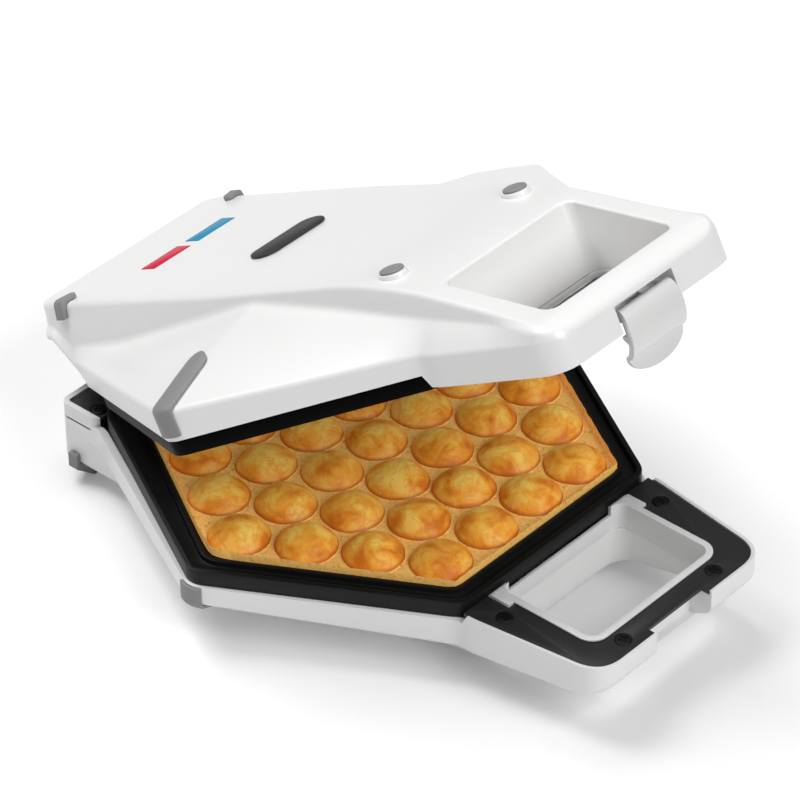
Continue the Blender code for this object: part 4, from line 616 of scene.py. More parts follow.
def shell_section(half, y, inset):
    """Right half of a section, from the top centre down to the rim."""
    edge_x = half_width(half["plan"], y) - inset * EDGE_STRETCH
    crown = crown_level(y, half) - inset
    rim = stepped(half["rim"], y)
    edge = stepped(half["edge"], y) - inset
    cove = stepped(half["cove"], y) - inset
    crown_x = stepped([(-0.050, 0.0482), (0.030, 0.0532)], y) - inset
    merge = stepped([(NOSE_Y + NOSE_MERGE_FROM, 0.0), (NOSE_Y + NOSE_MERGE_TO, 1.0)], y)
    crown_x = min(crown_x, edge_x - (EDGE_SOFT + CROWN_EDGE * 0.6) * merge - 0.0024 * (1.0 - merge))
    edge = max(min(edge, crown - 0.003), rim + 0.0015)
    cove = max(cove, edge + (crown - edge) * (0.25 + 0.35 * (1.0 - merge)))
    cove = min(cove, crown - 0.0033 * merge - 0.0012 * (1.0 - merge))
    foot_x = min(crown_x + 0.2 * (crown - cove), edge_x - 0.0027)
    foot_x = foot_x * merge + (edge_x - 0.0009) * (1.0 - merge)
    run = edge_x - foot_x

    def swelled(x):
        share = min(max((x - foot_x) / run, 0.0), 1.0) if run > 1e-6 else 0.0
        return max(run, 0.0) * FACET_SWELL * math.sin(math.pi * share) ** 2

    corners = [(0.0, crown), (crown_x, crown), (foot_x, cove), (edge_x, edge), (edge_x, rim - 0.0001)]
    shaped = [(x, z + swelled(x) if z < cove + 0.0005 else z)
              for x, z in fillet(corners, [CROWN_EDGE, COVE_SOFT, EDGE_SOFT], 7)]
    crown_run = [(shaped[1][0] * share, crown) for share in (0.35, 0.7)]
    facet = []
    for share in FACET_SHARES:
        x = shaped[16][0] * (1.0 - share) + shaped[17][0] * share
        along = (x - foot_x) / run if run > 1e-6 else 0.0
        facet.append((x, cove + (edge - cove) * along + swelled(x)))
    return shaped[:1] + crown_run + shaped[1:17] + facet + shaped[17:]


print("points of half a section:", len(shell_section(LID_HALF, 0.0, 0.0)))

# %% [markdown]
# The sections stand close together where the form turns, at the nose, the neck, the side corner and
# the rear edge, and far apart in between, which keeps the shell light where it is plain.

# %% The solid skinned through all sections
NOSE_STOPS = (0.0, 0.0001, 0.0004, 0.0009, 0.0016, 0.0026, 0.0038, 0.0052, 0.0068, 0.0084, 0.0100, 0.0125)
NECK_STOPS = (-0.0040, -0.0024, -0.0012, 0.0012, 0.0030, 0.0054)
REAR_STOPS = (0.0095, 0.0075, 0.0060, 0.0045, 0.0033, 0.0024, 0.0016, 0.0010, 0.0005, 0.0002, 0.00005, 0.0)
CORNER_STOP = 0.0072
SAME_STOP = 0.00004


def evenly(start, step, count):
    return [start + step * index for index in range(count)]


def shell_stops(half):
    """Places along Y for the sections, close together where the form turns."""
    stops = [NOSE_Y + step for step in NOSE_STOPS] + evenly(NOSE_Y + 0.016, 0.004, 12)
    stops += [NECK_Y + step for step in NECK_STOPS] + evenly(NECK_Y + 0.009, 0.006, 14)
    stops += evenly(-CORNER_STOP, CORNER_STOP / 6.0, 13)
    lid = half["side"] > 0.0
    end = LID_RIM_REAR if lid else BOX_RIM_FRONT
    stops += [CORNER_STOP + (end - CORNER_STOP) * step / 18.0 for step in range(1, 19)]
    stops += evenly(end + 0.0014, 0.0014, 13) if lid else evenly(end + 0.003, 0.003, 5)
    return stops + [half["rear"] - step for step in REAR_STOPS]


def shell_solid(name, half, inset, open_rim):
    """Solid inside the shell's surface; open_rim carries it on past the rim."""
    front = NOSE_Y + inset
    rear = half["rear"] - inset
    stops = sorted(min(max(y, front), rear) for y in shell_stops(half))
    apart = [stops[0]]
    for y in stops[1:]:
        if y - apart[-1] > SAME_STOP:
            apart.append(y)
    rings = []
    for y in apart:
        sample = NOSE_Y + (y - front) * (half["rear"] - NOSE_Y) / (rear - front) if inset > 0.0 else y
        right = shell_section(half, sample, inset)
        rim = stepped(half["rim"], sample)
        floor = min(-open_rim if open_rim > 0.0 else rim - 0.0002, right[-1][1] - 0.0001)
        right = right[:-1] + [(right[-1][0], floor), (0.0, floor)]
        left = [(-x, z) for x, z in reversed(right[1:-1])]
        rings.append([(x, y, z * half["side"]) for x, z in right + left])
    return skin(name, rings)


print("sections:", len(shell_stops(LID_HALF)), "in the lid,", len(shell_stops(BASE_HALF)), "in the base")

# %% [markdown]
# A shell is the outer solid less the inner one, with the grip opening and the latch notch cut through.
# The opening's walls and upper edge come from the cutter itself: each wall leans outward on its way up
# and ends in a small round that follows the crown, which a bevel could not do on such a curved cut.

# %% Grip opening and handle cover plans
OPENING_HALF = 0.0372
OPENING_FRONT = -0.1490
OPENING_REAR = -0.1005
OPENING_CORNER = 0.005
OPENING_SOFT = 0.0011
LEAN_FRONT = 0.0042
LEAN_REAR = 0.0020
SEAM = 0.00005
NOTCH_HALF = 0.0172
NOTCH_DEPTH = 0.011
LINER_DEPTH = 0.0126
LIP = 0.0007
COVER = 0.0018
COVER_MARGIN = 0.0017
COVER_FRONT = 0.0013
LID_HALF.update(lean=1.0, corner=OPENING_CORNER, notch=0.010, liner=0.0030, boss=0.0388,
                cover_rear=-0.1004)
BASE_HALF.update(lean=0.0, corner=0.008, notch=0.0176, liner=LINER_DEPTH, boss=0.0400,
                 cover_rear=-RIM_APOTHEM - 0.0004)


def soft_oblong(left, right, front, rear, radius, steps=8):
    """Plan of an oblong with rounded corners."""
    return rounded([(left, front), (right, front), (right, rear), (left, rear)], radius, steps)


def opening_outline(grow, lean=0.0, corner=OPENING_CORNER):
    """Plan of the grip opening; lean carries its front and rear walls outward."""
    half = OPENING_HALF + grow
    front = OPENING_FRONT - grow - LEAN_FRONT * lean
    return soft_oblong(-half, half, front, OPENING_REAR + grow + LEAN_REAR * lean, corner + grow)


def split(side, depth):
    """Height of a level measured away from the handle's parting plane."""
    return SPLIT + side * (0.0002 + depth)


def levels(side, near, far):
    """Low and high of two levels measured from the parting plane."""
    return sorted((split(side, near), split(side, far)))


def flared_opening(half):
    """Cutter for the grip opening: leaning walls and a rounded edge that follows the crown."""
    side, lean, corner = half["side"], half["lean"], half["corner"]
    low = opening_outline(0.0, 0.0, corner)
    rings = [at_height(low, -side * FAR * 3.0), at_height(low, split(side, LID_HALF["liner"]))]
    for step in range(7):
        turn = math.pi / 2.0 * step / 6.0
        grow = OPENING_SOFT * (1.0 - math.cos(turn))
        drop = OPENING_SOFT * (1.0 - math.sin(turn))
        rings.append([(x, y, side * (crown_level(y, half) - drop))
                      for x, y in opening_outline(grow, lean, corner)])
    beyond = opening_outline(OPENING_SOFT + 0.0001, lean, corner)
    rings.append([(x, y, side * (crown_level(y, half) + 0.0003)) for x, y in beyond])
    return skin("flared opening", rings + [at_height(beyond, side * FAR * 2.0)])


def cover_outline(half, margin, front_margin):
    """Handle cover plan: the shell's plan before the neck, drawn in by a margin."""
    front = NOSE_Y + front_margin
    right = []
    for step in range(29):
        share = (step / 28.0) ** 1.8
        y = front + (half["cover_rear"] - front) * share
        right.append((half_width(half["plan"], y - front_margin * (1.0 - share)) - margin, y))
    return mirrored(right)


print("grip opening", round(OPENING_HALF * 2000.0, 1), "by",
      round((OPENING_REAR - OPENING_FRONT) * 1000.0, 1), "mm")

# %% [markdown]
# Pads and their bosses are short upright ovals on both sides of the crown. One helper skins such an
# oval from a few rows, each a little wider or narrower than the pad itself.

# %% Ovals for pads and bosses
PAD_SPOT = (0.037, -0.072)
PAD_HALF_X = 0.0049
PAD_HALF_Y = 0.0054
PAD_RISE = 0.0011
SIDES = ((-1.0, "left"), (1.0, "right"))


def oval(name, sign, side, rows):
    """Upright oval at a pad's place; each row is how much it grows and its height."""
    return skin(name, [[(sign * PAD_SPOT[0] + x * (PAD_HALF_X + grow), PAD_SPOT[1] + y * (PAD_HALF_Y + grow),
                         side * height) for x, y in ring_points((0.0, 0.0), 1.0, 40)]
                       for grow, height in rows])


def pedestal(sign, side, top):
    """Raised oval boss under a pad, with a soft foot."""
    return oval("pedestal", sign, side, ((0.0011, top - 0.0060), (0.0009, top - 0.0004),
                                         (0.0007, top - 0.0001), (0.0003, top)))


print("pads stand", round(PAD_SPOT[0] * 2000.0, 1), "mm apart")

# %% [markdown]
# Now the two shells. The base has a box at its rear for the terminals, so the box is joined to the
# outer solid and its room to the inner one before one is taken from the other.

# %% The two shells
RED_BAR = (-0.0220, 0.0002)
BLUE_BAR = (0.0050, 0.0276)
BAR_FRONT, BAR_REAR = 0.0957, 0.1047
BAR_GAP = 0.0002


def box_plan(front, inset, radius):
    reach = BOX_HALF - inset
    return soft_oblong(-reach, reach, front + inset, BOX_REAR - inset, radius)


def hollow_half(name, half):
    """One shell half, hollow, with its openings and its rebate for the handle cover."""
    side, notch = half["side"], half["notch"]
    outer = shell_solid(name, half, 0.0, 0.0)
    inner = shell_solid("inner", half, WALL, FAR)
    if side < 0.0:
        join(outer, raised("rear box", box_plan(BOX_FRONT, 0.0, BOX_ROUND), -BOX_DEPTH,
                           -BASE_RIM - 0.0002, 0.0016))
        join(outer, raised("rear rim", box_plan(BOX_RIM_FRONT, 0.0, BOX_ROUND), -BASE_RIM - WALL, -0.0022))
        join(inner, raised("box room", box_plan(BOX_FRONT, WALL, BOX_ROUND - WALL), -BOX_DEPTH + WALL, FAR))
    cut(inner, block("pocket", -NOTCH_HALF - WALL, NOTCH_HALF + WALL, NOSE_Y - FAR,
                     NOSE_Y + NOTCH_DEPTH + WALL, *sorted((-side * FAR, side * (notch + WALL)))))
    cut(inner, raised("grip wall", opening_outline(WALL + LEAN_FRONT * half["lean"]),
                      *sorted((split(side, half["liner"] + SEAM), side * FAR * 2.0))))
    cut(outer, inner)
    cut(outer, flared_opening(half))
    cut(outer, raised("rebate", cover_outline(half, COVER_MARGIN - GAP, COVER_FRONT - GAP),
                      *levels(side, -FAR, LIP + GAP + COVER + GAP)))
    cut(outer, block("notch", -NOTCH_HALF, NOTCH_HALF, NOSE_Y - FAR, NOSE_Y + NOTCH_DEPTH,
                     *sorted((-side * FAR, side * notch))))
    for sign, _ in SIDES:
        join(outer, pedestal(sign, side, half["boss"]))
    return outer


lid_shell = hollow_half("lid_shell_moulding", LID_HALF)
for start, end in (RED_BAR, BLUE_BAR):
    cut(lid_shell, block("window", start - BAR_GAP, end + BAR_GAP, BAR_FRONT - BAR_GAP, BAR_REAR + BAR_GAP,
                         CROWN - 0.005, CROWN + FAR))
place(lid_shell, "lid", WHITE_SHELL, "lid_shell", angle=32.0)
base_shell = hollow_half("base_shell_moulding", BASE_HALF)
place(base_shell, "base", WHITE_SHELL, "base_shell", angle=32.0)

# %% [markdown]
# ## The cooking plates
# Each plate is one aluminium casting. Its wells are one round cap, repeated thirty-seven times in a
# hexagonal pattern. Placed by hand that is slow work, and one wrong well spoils it. So Geometry Nodes
# lays the points out by a rule, sets a back cap and a well cap on each, joins the backs to the plate
# and cuts the wells out of it. The same nodes serve both plates, with other caps.

# %% Well caps and plate outlines
PITCH = 0.028
WELL_RADIUS = 0.0132
WELL_LIP = 0.0007
BACK_START = 0.0006
WELL_ROWS_SHARE = (1.0, 0.93, 0.84, 0.72, 0.58, 0.42, 0.25, 0.08)
WEB = 0.004
WEB_SKIN = 0.0025
PLATE_SKIN = 0.0015
LOWER_DEPTH = 0.0085
UPPER_DEPTH = 0.0078
PAN = 0.0887
PAN_ROUND = 0.008
RIM_ROUND = 0.010
LID_PLATE_REAR = 0.1040
OUTER_RIDGE = 0.0025
INNER_RIDGE = 0.0023
GUTTER = 0.0026
RIDGE_SOFT = 0.0005
SLANT = 2.0 / math.sqrt(3.0)


def turned(name, rows, sides):
    """Round piece about its own axis, from rows of radius and height."""
    return skin(name, [at_height(ring_points((0.0, 0.0), radius, sides), z) for radius, z in rows])


def cap(name, face, tip, grow, mouth, flare, sides):
    """Closed cap of a ball about the origin, from a mouth before the face to just past the tip."""
    toward = math.copysign(1.0, tip - face)
    depth = abs(tip - face)
    ball = (WELL_RADIUS ** 2 + depth ** 2) / (2.0 * depth)
    middle = tip - toward * ball
    outer = ball + grow
    opening = math.acos(abs(face - middle) / outer)
    lip = outer * math.sin(opening)
    rows = [(lip + flare, face - toward * mouth)]
    if flare > 0.0:
        rows += [(lip + flare, face), (lip + flare * 0.3, face + toward * flare * 0.35)]
    for share in WELL_ROWS_SHARE[1 if flare > 0.0 else 0:]:
        rows.append((outer * math.sin(opening * share), middle + toward * outer * math.cos(opening * share)))
    return turned(name, rows, sides)


def six_sided(front, side, rear_half, rear, radius, grow=0.0):
    """Plan of a plate: a hexagon whose rear half can run longer."""
    half = front / math.sqrt(3.0)
    corners = [(-half, -front), (half, -front), (side, 0.0), (rear_half, rear), (-rear_half, rear),
               (-side, 0.0)]
    return rounded(shrunk(corners, -grow), radius + grow, 8)


def pan_plan(grow=0.0):
    return six_sided(PAN, PAN * SLANT, PAN / math.sqrt(3.0), PAN, PAN_ROUND, grow)


def rim_plan(grow=0.0):
    return six_sided(RIM_APOTHEM, RIM_APOTHEM * SLANT, 0.0605, 0.1005, RIM_ROUND, grow)


def lid_plate_plan(grow=0.0):
    return six_sided(0.1000, 0.1155, 0.0668, LID_PLATE_REAR, RIM_ROUND, grow)


print("pan", round(PAN * 2000.0, 1), "mm across its flats")

# %% [markdown]
# The points of the wells come from one index: its remainder by seven is the column and its quotient
# the row, each row is shifted by half a pitch, and the points outside the hexagon are deleted. The
# waffle is made from the same points later, so both agree by construction.

# %% Geometry Nodes: points in a hexagon and copies on them
ROW_POINTS = 7


def calc(tree, operation, first, second=0.0):
    """A math node fed by sockets or plain numbers."""
    return node(tree, "ShaderNodeMath", {0: first, 1: second}, operation=operation).outputs["Value"]


def xyz(tree, **parts):
    return node(tree, "ShaderNodeCombineXYZ", parts).outputs["Vector"]


def bubble_points(tree, pitch):
    """Seven rows of points, each shorter by one than its neighbour nearer the middle."""
    index = node(tree, "GeometryNodeInputIndex").outputs["Index"]
    middle = float(ROW_POINTS // 2)
    column = calc(tree, "SUBTRACT", calc(tree, "MODULO", index, float(ROW_POINTS)), middle)
    row = calc(tree, "SUBTRACT", calc(tree, "FLOOR", calc(tree, "DIVIDE", index, float(ROW_POINTS))), middle)
    x = calc(tree, "ADD", column, calc(tree, "MULTIPLY", row, 0.5))
    y = calc(tree, "MULTIPLY", row, math.sqrt(3.0) / 2.0)
    spots = xyz(tree, X=calc(tree, "MULTIPLY", x, pitch), Y=calc(tree, "MULTIPLY", y, pitch))
    points = node(tree, "GeometryNodePoints", {"Count": ROW_POINTS ** 2, "Position": spots})
    outside = calc(tree, "ABSOLUTE", calc(tree, "ADD", column, row))
    thinned = node(tree, "GeometryNodeDeleteGeometry",
                   {"Geometry": points.outputs["Points"],
                    "Selection": calc(tree, "GREATER_THAN", outside, middle + 0.5)})
    return thinned.outputs["Geometry"]


def copies(tree, points, source, more=None):
    """Instances of one object on all points."""
    shape = node(tree, "GeometryNodeObjectInfo", {"Object": source}).outputs["Geometry"]
    spread = node(tree, "GeometryNodeInstanceOnPoints", {"Points": points, "Instance": shape, **(more or {})})
    return spread.outputs["Instances"]


def put_out_mesh(tree, put_out, geometry, surface):
    """End a geometry tree in real meshes that carry their material."""
    real = node(tree, "GeometryNodeRealizeInstances", {"Geometry": geometry})
    dressed = node(tree, "GeometryNodeSetMaterial", {"Geometry": real.outputs["Geometry"],
                                                     "Material": surface})
    feed(tree, put_out, {"Geometry": dressed.outputs["Geometry"]})


def run_nodes(item, tree, **values):
    """Give an object a node group with named inputs, and keep the plain mesh that it makes."""
    change = item.modifiers.new(tree.name, "NODES")
    change.node_group = tree
    for socket in tree.interface.items_tree:
        key = socket.name.lower().replace(" ", "_")
        if socket.in_out == "INPUT" and key in values:
            change[socket.identifier] = values[key]
    return settle(item)

# %% Geometry Nodes: backs joined and wells cut
def well_field_group():
    """Joins a back cap to a plate on every point, then cuts a well cap out of it."""
    tree, given, put_out = new_group(
        "well_field", "GeometryNodeTree",
        (("Geometry", "Geometry", None), ("Back cap", "Object", None), ("Well cap", "Object", None),
         ("Pitch", "Float", PITCH), ("Surface", "Material", None)), (("Geometry", "Geometry"),))
    points = bubble_points(tree, given["Pitch"])
    joined = node(tree, "GeometryNodeMeshBoolean", {"Mesh 2": given["Geometry"]}, operation="UNION",
                  solver="EXACT")
    feed(tree, joined, {"Mesh 2": copies(tree, points, given["Back cap"])})
    cut_out = node(tree, "GeometryNodeMeshBoolean",
                   {"Mesh 1": joined.outputs["Mesh"], "Mesh 2": copies(tree, points, given["Well cap"])},
                   operation="DIFFERENCE", solver="EXACT")
    put_out_mesh(tree, put_out, cut_out.outputs["Mesh"], given["Surface"])
    return tree


WELL_FIELD = well_field_group()
print("well field nodes:", len(WELL_FIELD.nodes))


def wells_in(plate, face, tip):
    """Join the well backs to a plate blank and cut the wells."""
    back = cap("back cap", face, tip, PLATE_SKIN, -BACK_START, 0.0, 24)
    well = cap("well cap", face, tip, 0.0, WEB * 0.6, WELL_LIP, 48)
    run_nodes(plate, WELL_FIELD, back_cap=back, well_cap=well, pitch=PITCH, surface=LOWER_COAT)
    for tool in (back, well):
        bpy.data.objects.remove(tool, do_unlink=True)

# %% [markdown]
# The lower plate has a gutter between two ridges round its pan. The upper one is a shallow skirt round
# a raised face, open at the rear for the hinge. Both start as plain raised plans and are softened
# before the wells are cut, so that the bevel never has to deal with the round lips.

# %% The lower and the upper plate
lower = raised("lower_plate_casting", rim_plan(), -WEB - WEB_SKIN, RIM_TOP)
gutter = raised("gutter", rim_plan(-OUTER_RIDGE), RIM_TOP - GUTTER, RIM_TOP + WALL)
cut(gutter, raised("inner ridge", pan_plan(INNER_RIDGE), -FAR, FAR))
cut(lower, gutter)
cut(lower, raised("pan", pan_plan(), -WEB, FAR))
soften(lower, RIDGE_SOFT)
wells_in(lower, -WEB, -WEB - LOWER_DEPTH)
place(lower, "base", LOWER_COAT, "lower_plate", angle=30.0)

SKIRT_BOTTOM = -0.0025
SKIRT_WALL = 0.0011
LID_PLATE_TOP = 0.0040
PRESS = 0.0005
under = RIM_TOP + PRESS
upper = raised("upper_plate_casting", lid_plate_plan(), SKIRT_BOTTOM, LID_PLATE_TOP)
cut(upper, raised("skirt room", lid_plate_plan(-SKIRT_WALL), -FAR, under))
cut(upper, block("rear gap", -BODY_SIDE, BODY_SIDE, LID_PLATE_REAR - RIM_ROUND / 2.0,
                 LID_PLATE_REAR + WALL, -FAR, under))
join(upper, raised("face", pan_plan(-PRESS), 0.0, under + (LID_PLATE_TOP - under) / 2.0))
soften(upper, RIDGE_SOFT * 0.6)
wells_in(upper, 0.0, UPPER_DEPTH)
# The upper plate wears the darker copy of the coat, which is painted shade.
place(upper, "lid", SHADED_UPPER_COAT, "upper_plate", angle=30.0)

# %% [markdown]
# ## A finished waffle
# The photograph shows the iron with a baked waffle in it, so the scene stages one. It is food, not a
# piece of the iron. A waffle is a height field: one sheet whose height is the web, or the ball over
# the nearest bubble where that is higher. The node group below builds it from the same points as the
# wells, and stores how far each place is from its bubble, which the baked colour then reads.

# %% Geometry Nodes: the waffle as a height over its points
SHEET_POINTS = (281, 245)
SHEET_BEND = 1.6e-5
RING_SPOT = 0.0136
RING_WIDTH = 0.0006
RING_DEPTH = 0.00035


def swing(tree, spot, scale, detail=2.0):
    """Noise spread to about minus one to one."""
    return calc(tree, "MULTIPLY", calc(tree, "SUBTRACT", noise(tree, spot, scale, detail), 0.5), 2.0)


def hexagon_sheet(tree, reach):
    """A square sheet of quads, drawn in to the hexagon row by row."""
    sheet = node(tree, "GeometryNodeMeshGrid",
                 {"Size X": 2.0, "Size Y": 2.0, "Vertices X": SHEET_POINTS[0], "Vertices Y": SHEET_POINTS[1]})
    spot = node(tree, "GeometryNodeInputPosition").outputs["Position"]
    parts = node(tree, "ShaderNodeSeparateXYZ", {"Vector": spot}).outputs
    down = calc(tree, "MULTIPLY", parts["Y"], reach)
    bend = calc(tree, "POWER", calc(tree, "ADD", calc(tree, "MULTIPLY", down, down), SHEET_BEND), 0.5)
    half = calc(tree, "SUBTRACT", calc(tree, "MULTIPLY", reach, SLANT),
                calc(tree, "DIVIDE", bend, math.sqrt(3.0)))
    plan = xyz(tree, X=calc(tree, "MULTIPLY", parts["X"], half), Y=down)
    laid = node(tree, "GeometryNodeSetPosition", {"Geometry": sheet.outputs["Mesh"], "Position": plan})
    return laid.outputs["Geometry"]


def bubble_height(tree, distance, radius, rise):
    """Height of a ball's cap over the web, soft at its foot, with the ring that the well's lip presses."""
    squares = calc(tree, "ADD", calc(tree, "MULTIPLY", radius, radius), calc(tree, "MULTIPLY", rise, rise))
    ball = calc(tree, "DIVIDE", squares, calc(tree, "MULTIPLY", rise, 2.0))
    room = calc(tree, "SUBTRACT", calc(tree, "MULTIPLY", ball, ball),
                calc(tree, "MULTIPLY", distance, distance))
    dome = calc(tree, "ADD", calc(tree, "SQRT", calc(tree, "MAXIMUM", room, 0.0)),
                calc(tree, "SUBTRACT", rise, ball))
    height = node(tree, "ShaderNodeMath", {0: dome, 1: 0.0, 2: 0.0011}, operation="SMOOTH_MAX")
    off_ring = calc(tree, "DIVIDE", calc(tree, "SUBTRACT", distance, RING_SPOT), RING_WIDTH)
    squared = calc(tree, "MULTIPLY", off_ring, off_ring)
    ring = calc(tree, "EXPONENT", calc(tree, "MULTIPLY", squared, -1.0))
    return calc(tree, "SUBTRACT", height.outputs["Value"], calc(tree, "MULTIPLY", ring, RING_DEPTH))


def waffle_group():
    """The whole waffle: sheet, bubbles, fine unevenness, the stored distance and the cut edge."""
    tree, given, put_out = new_group(
        "waffle", "GeometryNodeTree",
        (("Geometry", "Geometry", None), ("Pitch", "Float", PITCH), ("Reach", "Float", 0.088),
         ("Bubble radius", "Float", WELL_RADIUS), ("Bubble height", "Float", 0.0075),
         ("Thickness", "Float", WEB), ("Surface", "Material", None)), (("Geometry", "Geometry"),))
    laid = hexagon_sheet(tree, given["Reach"])
    nearest = node(tree, "GeometryNodeProximity", {0: bubble_points(tree, given["Pitch"])},
                   target_element="POINTS").outputs
    here = node(tree, "GeometryNodeInputPosition").outputs["Position"]
    wander = calc(tree, "MULTIPLY", swing(tree, here, 55.0), 0.0011)
    distance = calc(tree, "ADD", nearest["Distance"], wander)
    each = calc(tree, "MULTIPLY", swing(tree, nearest["Position"], 900.0, 0.0), 0.10)
    rise = calc(tree, "MULTIPLY", given["Bubble height"], calc(tree, "ADD", each, 1.0))
    radius = given["Bubble radius"]
    fine = calc(tree, "MULTIPLY", swing(tree, here, 260.0, 3.0), 0.00022)
    height = calc(tree, "ADD", bubble_height(tree, distance, radius, rise), fine)
    lifted = node(tree, "GeometryNodeSetPosition", {"Geometry": laid, "Offset": xyz(tree, Z=height)})
    marked = node(tree, "GeometryNodeStoreNamedAttribute",
                  {"Geometry": lifted.outputs["Geometry"], "Name": "from_bubble",
                   "Value": calc(tree, "DIVIDE", distance, radius)}, data_type="FLOAT", domain="POINT")
    rim = calc(tree, "LESS_THAN", node(tree, "GeometryNodeInputMeshEdgeNeighbors").outputs["Face Count"], 1.5)
    skirt = node(tree, "GeometryNodeExtrudeMesh",
                 {"Mesh": marked.outputs["Geometry"], "Selection": rim, "Offset": (0.0, 0.0, -1.0),
                  "Offset Scale": given["Thickness"]}, mode="EDGES")
    put_out_mesh(tree, put_out, skirt.outputs["Mesh"], given["Surface"])
    return tree

# %% [markdown]
# Baked batter is pale gold where it only just set and brown where it touched the hot metal longest.
# The web keeps fine pores, painted darker where they sink: painted shade in the pores. Each bubble
# has a light crown, which is a painted highlight, darker flanks and a brown line at its foot, and broad
# patches and thin veins cross it. All of that is noise and the stored distance, mixed in turn. A little
# of the same colour is given out as light, a painted glow that keeps the waffle bright under the lid.

# %% Baked colour
LIGHT, DARK = (1.0, 1.0, 1.0), (0.0, 0.0, 0.0)


def baked(name):
    """Golden web, darker bubbles with brown patches and veins, as batter browns in closed wells."""
    # The emission is a painted glow: the waffle gives out some of its own colour as light.
    surface, tree, shader = new_finish(name, {"Emission Strength": 0.21, "Roughness": 0.45,
                                              "Specular IOR Level": 0.25})
    spot = object_spot(tree)
    from_bubble = node(tree, "ShaderNodeAttribute", attribute_name="from_bubble").outputs["Fac"]

    def ramp(value, *stops):
        made = node(tree, "ShaderNodeValToRGB", {"Fac": value})
        ladder = made.color_ramp
        while len(ladder.elements) < len(stops):
            ladder.elements.new(0.5)
        for step, (at, colour) in zip(ladder.elements, stops):
            step.position = at
            step.color = (*colour, 1.0)
        return made.outputs["Color"]

    def mix(share, first, second):
        values = {key: (*value, 1.0) if isinstance(value, tuple) else value
                  for key, value in ((0, share), (6, first), (7, second))}
        return node(tree, "ShaderNodeMix", values, data_type="RGBA").outputs[2]

    def part(mask, share):
        return calc(tree, "MULTIPLY", mask, share)

    gold = ramp(noise(tree, spot, 95.0, 5.0, 0.5), (0.38, (1.0, 0.62, 0.12)), (0.50, (0.98, 0.43, 0.045)),
                (0.66, (0.68, 0.18, 0.012)))
    veins = noise(tree, spot, 85.0, 3.0, 2.2)
    line = ramp(calc(tree, "ABSOLUTE", calc(tree, "SUBTRACT", veins, 0.5)), (0.0, LIGHT), (0.05, DARK))
    bubble = mix(part(line, 0.42), gold, (0.60, 0.16, 0.014))
    # Painted highlight: each bubble's top is painted lighter toward its middle.
    crown = ramp(from_bubble, (0.0, LIGHT), (0.75, DARK))
    bubble = mix(part(crown, 0.50), bubble, (1.0, 0.74, 0.19))
    flank = ramp(from_bubble, (0.72, DARK), (0.98, LIGHT))
    bubble = mix(part(flank, 0.45), bubble, (0.56, 0.17, 0.016))
    brim = ramp(from_bubble, (0.93, DARK), (0.985, LIGHT), (1.03, DARK))
    pores = noise(tree, spot, 700.0, 3.0)
    # Painted shade in the pores: the web is darker where the pore noise is low, where the bump sinks.
    web = ramp(pores, (0.30, (0.60, 0.29, 0.050)), (0.42, (0.90, 0.50, 0.125)), (0.70, (0.96, 0.60, 0.19)))
    ring = ramp(from_bubble, (0.99, DARK), (1.06, LIGHT))
    crumb = mix(part(brim, 0.9), mix(ring, bubble, web), (0.40, 0.085, 0.008))
    # Painted glow: the same colour feeds the emission as well as the base colour.
    feed(tree, shader, {"Base Color": crumb, "Emission Color": crumb})
    bumped(tree, shader, pores, 0.35, 0.0006)
    return surface

# %% The waffle on the lower plate
WAFFLE_BAKED = baked("baked_waffle")
waffle = bpy.data.objects.new("waffle", bpy.data.meshes.new("waffle"))
bpy.context.scene.collection.objects.link(waffle)
run_nodes(waffle, waffle_group(), pitch=PITCH, reach=0.0882, bubble_radius=0.0134, bubble_height=0.0079,
          thickness=WEB - 0.0001, surface=WAFFLE_BAKED)
waffle.data.transform(STANDING)
for face in waffle.data.polygons:
    face.use_smooth = True
waffle.data.set_sharp_from_angle(angle=math.radians(60.0))
print("waffle", len(waffle.data.polygons), "faces")

# %% [markdown]
# ## Handle plates and grip sleeves
# Each half of the handle is closed by a dark plate, and a white sleeve lines the grip. The sleeve's
# thin lip lies on the plate, and its two ears reach back beside the cooking plate's rim. All of them
# are flat mouldings, so a raised outline with softly rounded edges is the right tool.

# %% Covers of the handle
LINER_WALL = 0.0016
LINER_LIP = 0.0030
EAR_HALF = 0.0433
EAR_FRONT = -0.1100
MOUTH_REAR = NOSE_Y + 0.0050
SCREW_HOLE = 0.0016
COUNTERSINK = 0.0038
COUNTERSINK_DEPTH = 0.0005
NOSE_SCREW = (0.0286, -0.1572)
NECK_SCREW = (0.0492, -0.1128)
REAR_SCREW = (0.0578, 0.1062)
HANDLE_SEAT = split(-1.0, LIP + GAP)
REAR_SEAT = -0.0028
EDGE_FINE = 0.0004


def handle_plate(name, half, mouth_rear):
    """Flat closing plate of one handle half, cut out for the sleeve and the latch."""
    plate = raised(name, cover_outline(half, COVER_MARGIN, COVER_FRONT),
                   *levels(half["side"], LIP + GAP, LIP + GAP + COVER))
    cut(plate, raised("hole", opening_outline(LINER_WALL + GAP), -FAR, FAR))
    cut(plate, block("ears", -EAR_HALF - GAP, EAR_HALF + GAP, EAR_FRONT - GAP, FAR, -FAR, FAR))
    cut(plate, block("mouth", -NOTCH_HALF, NOTCH_HALF, NOSE_Y - FAR, mouth_rear, -FAR, FAR))
    return plate


def drill(plate, spot, seat):
    """Screw holes with flat seats at a spot and at its mirror image."""
    for sign, _ in SIDES:
        centre = (sign * spot[0], spot[1])
        cut(plate, raised("screw hole", ring_points(centre, SCREW_HOLE, 20), -FAR, FAR))
        cut(plate, raised("seat", ring_points(centre, COUNTERSINK, 32), seat - COUNTERSINK_DEPTH, FAR))


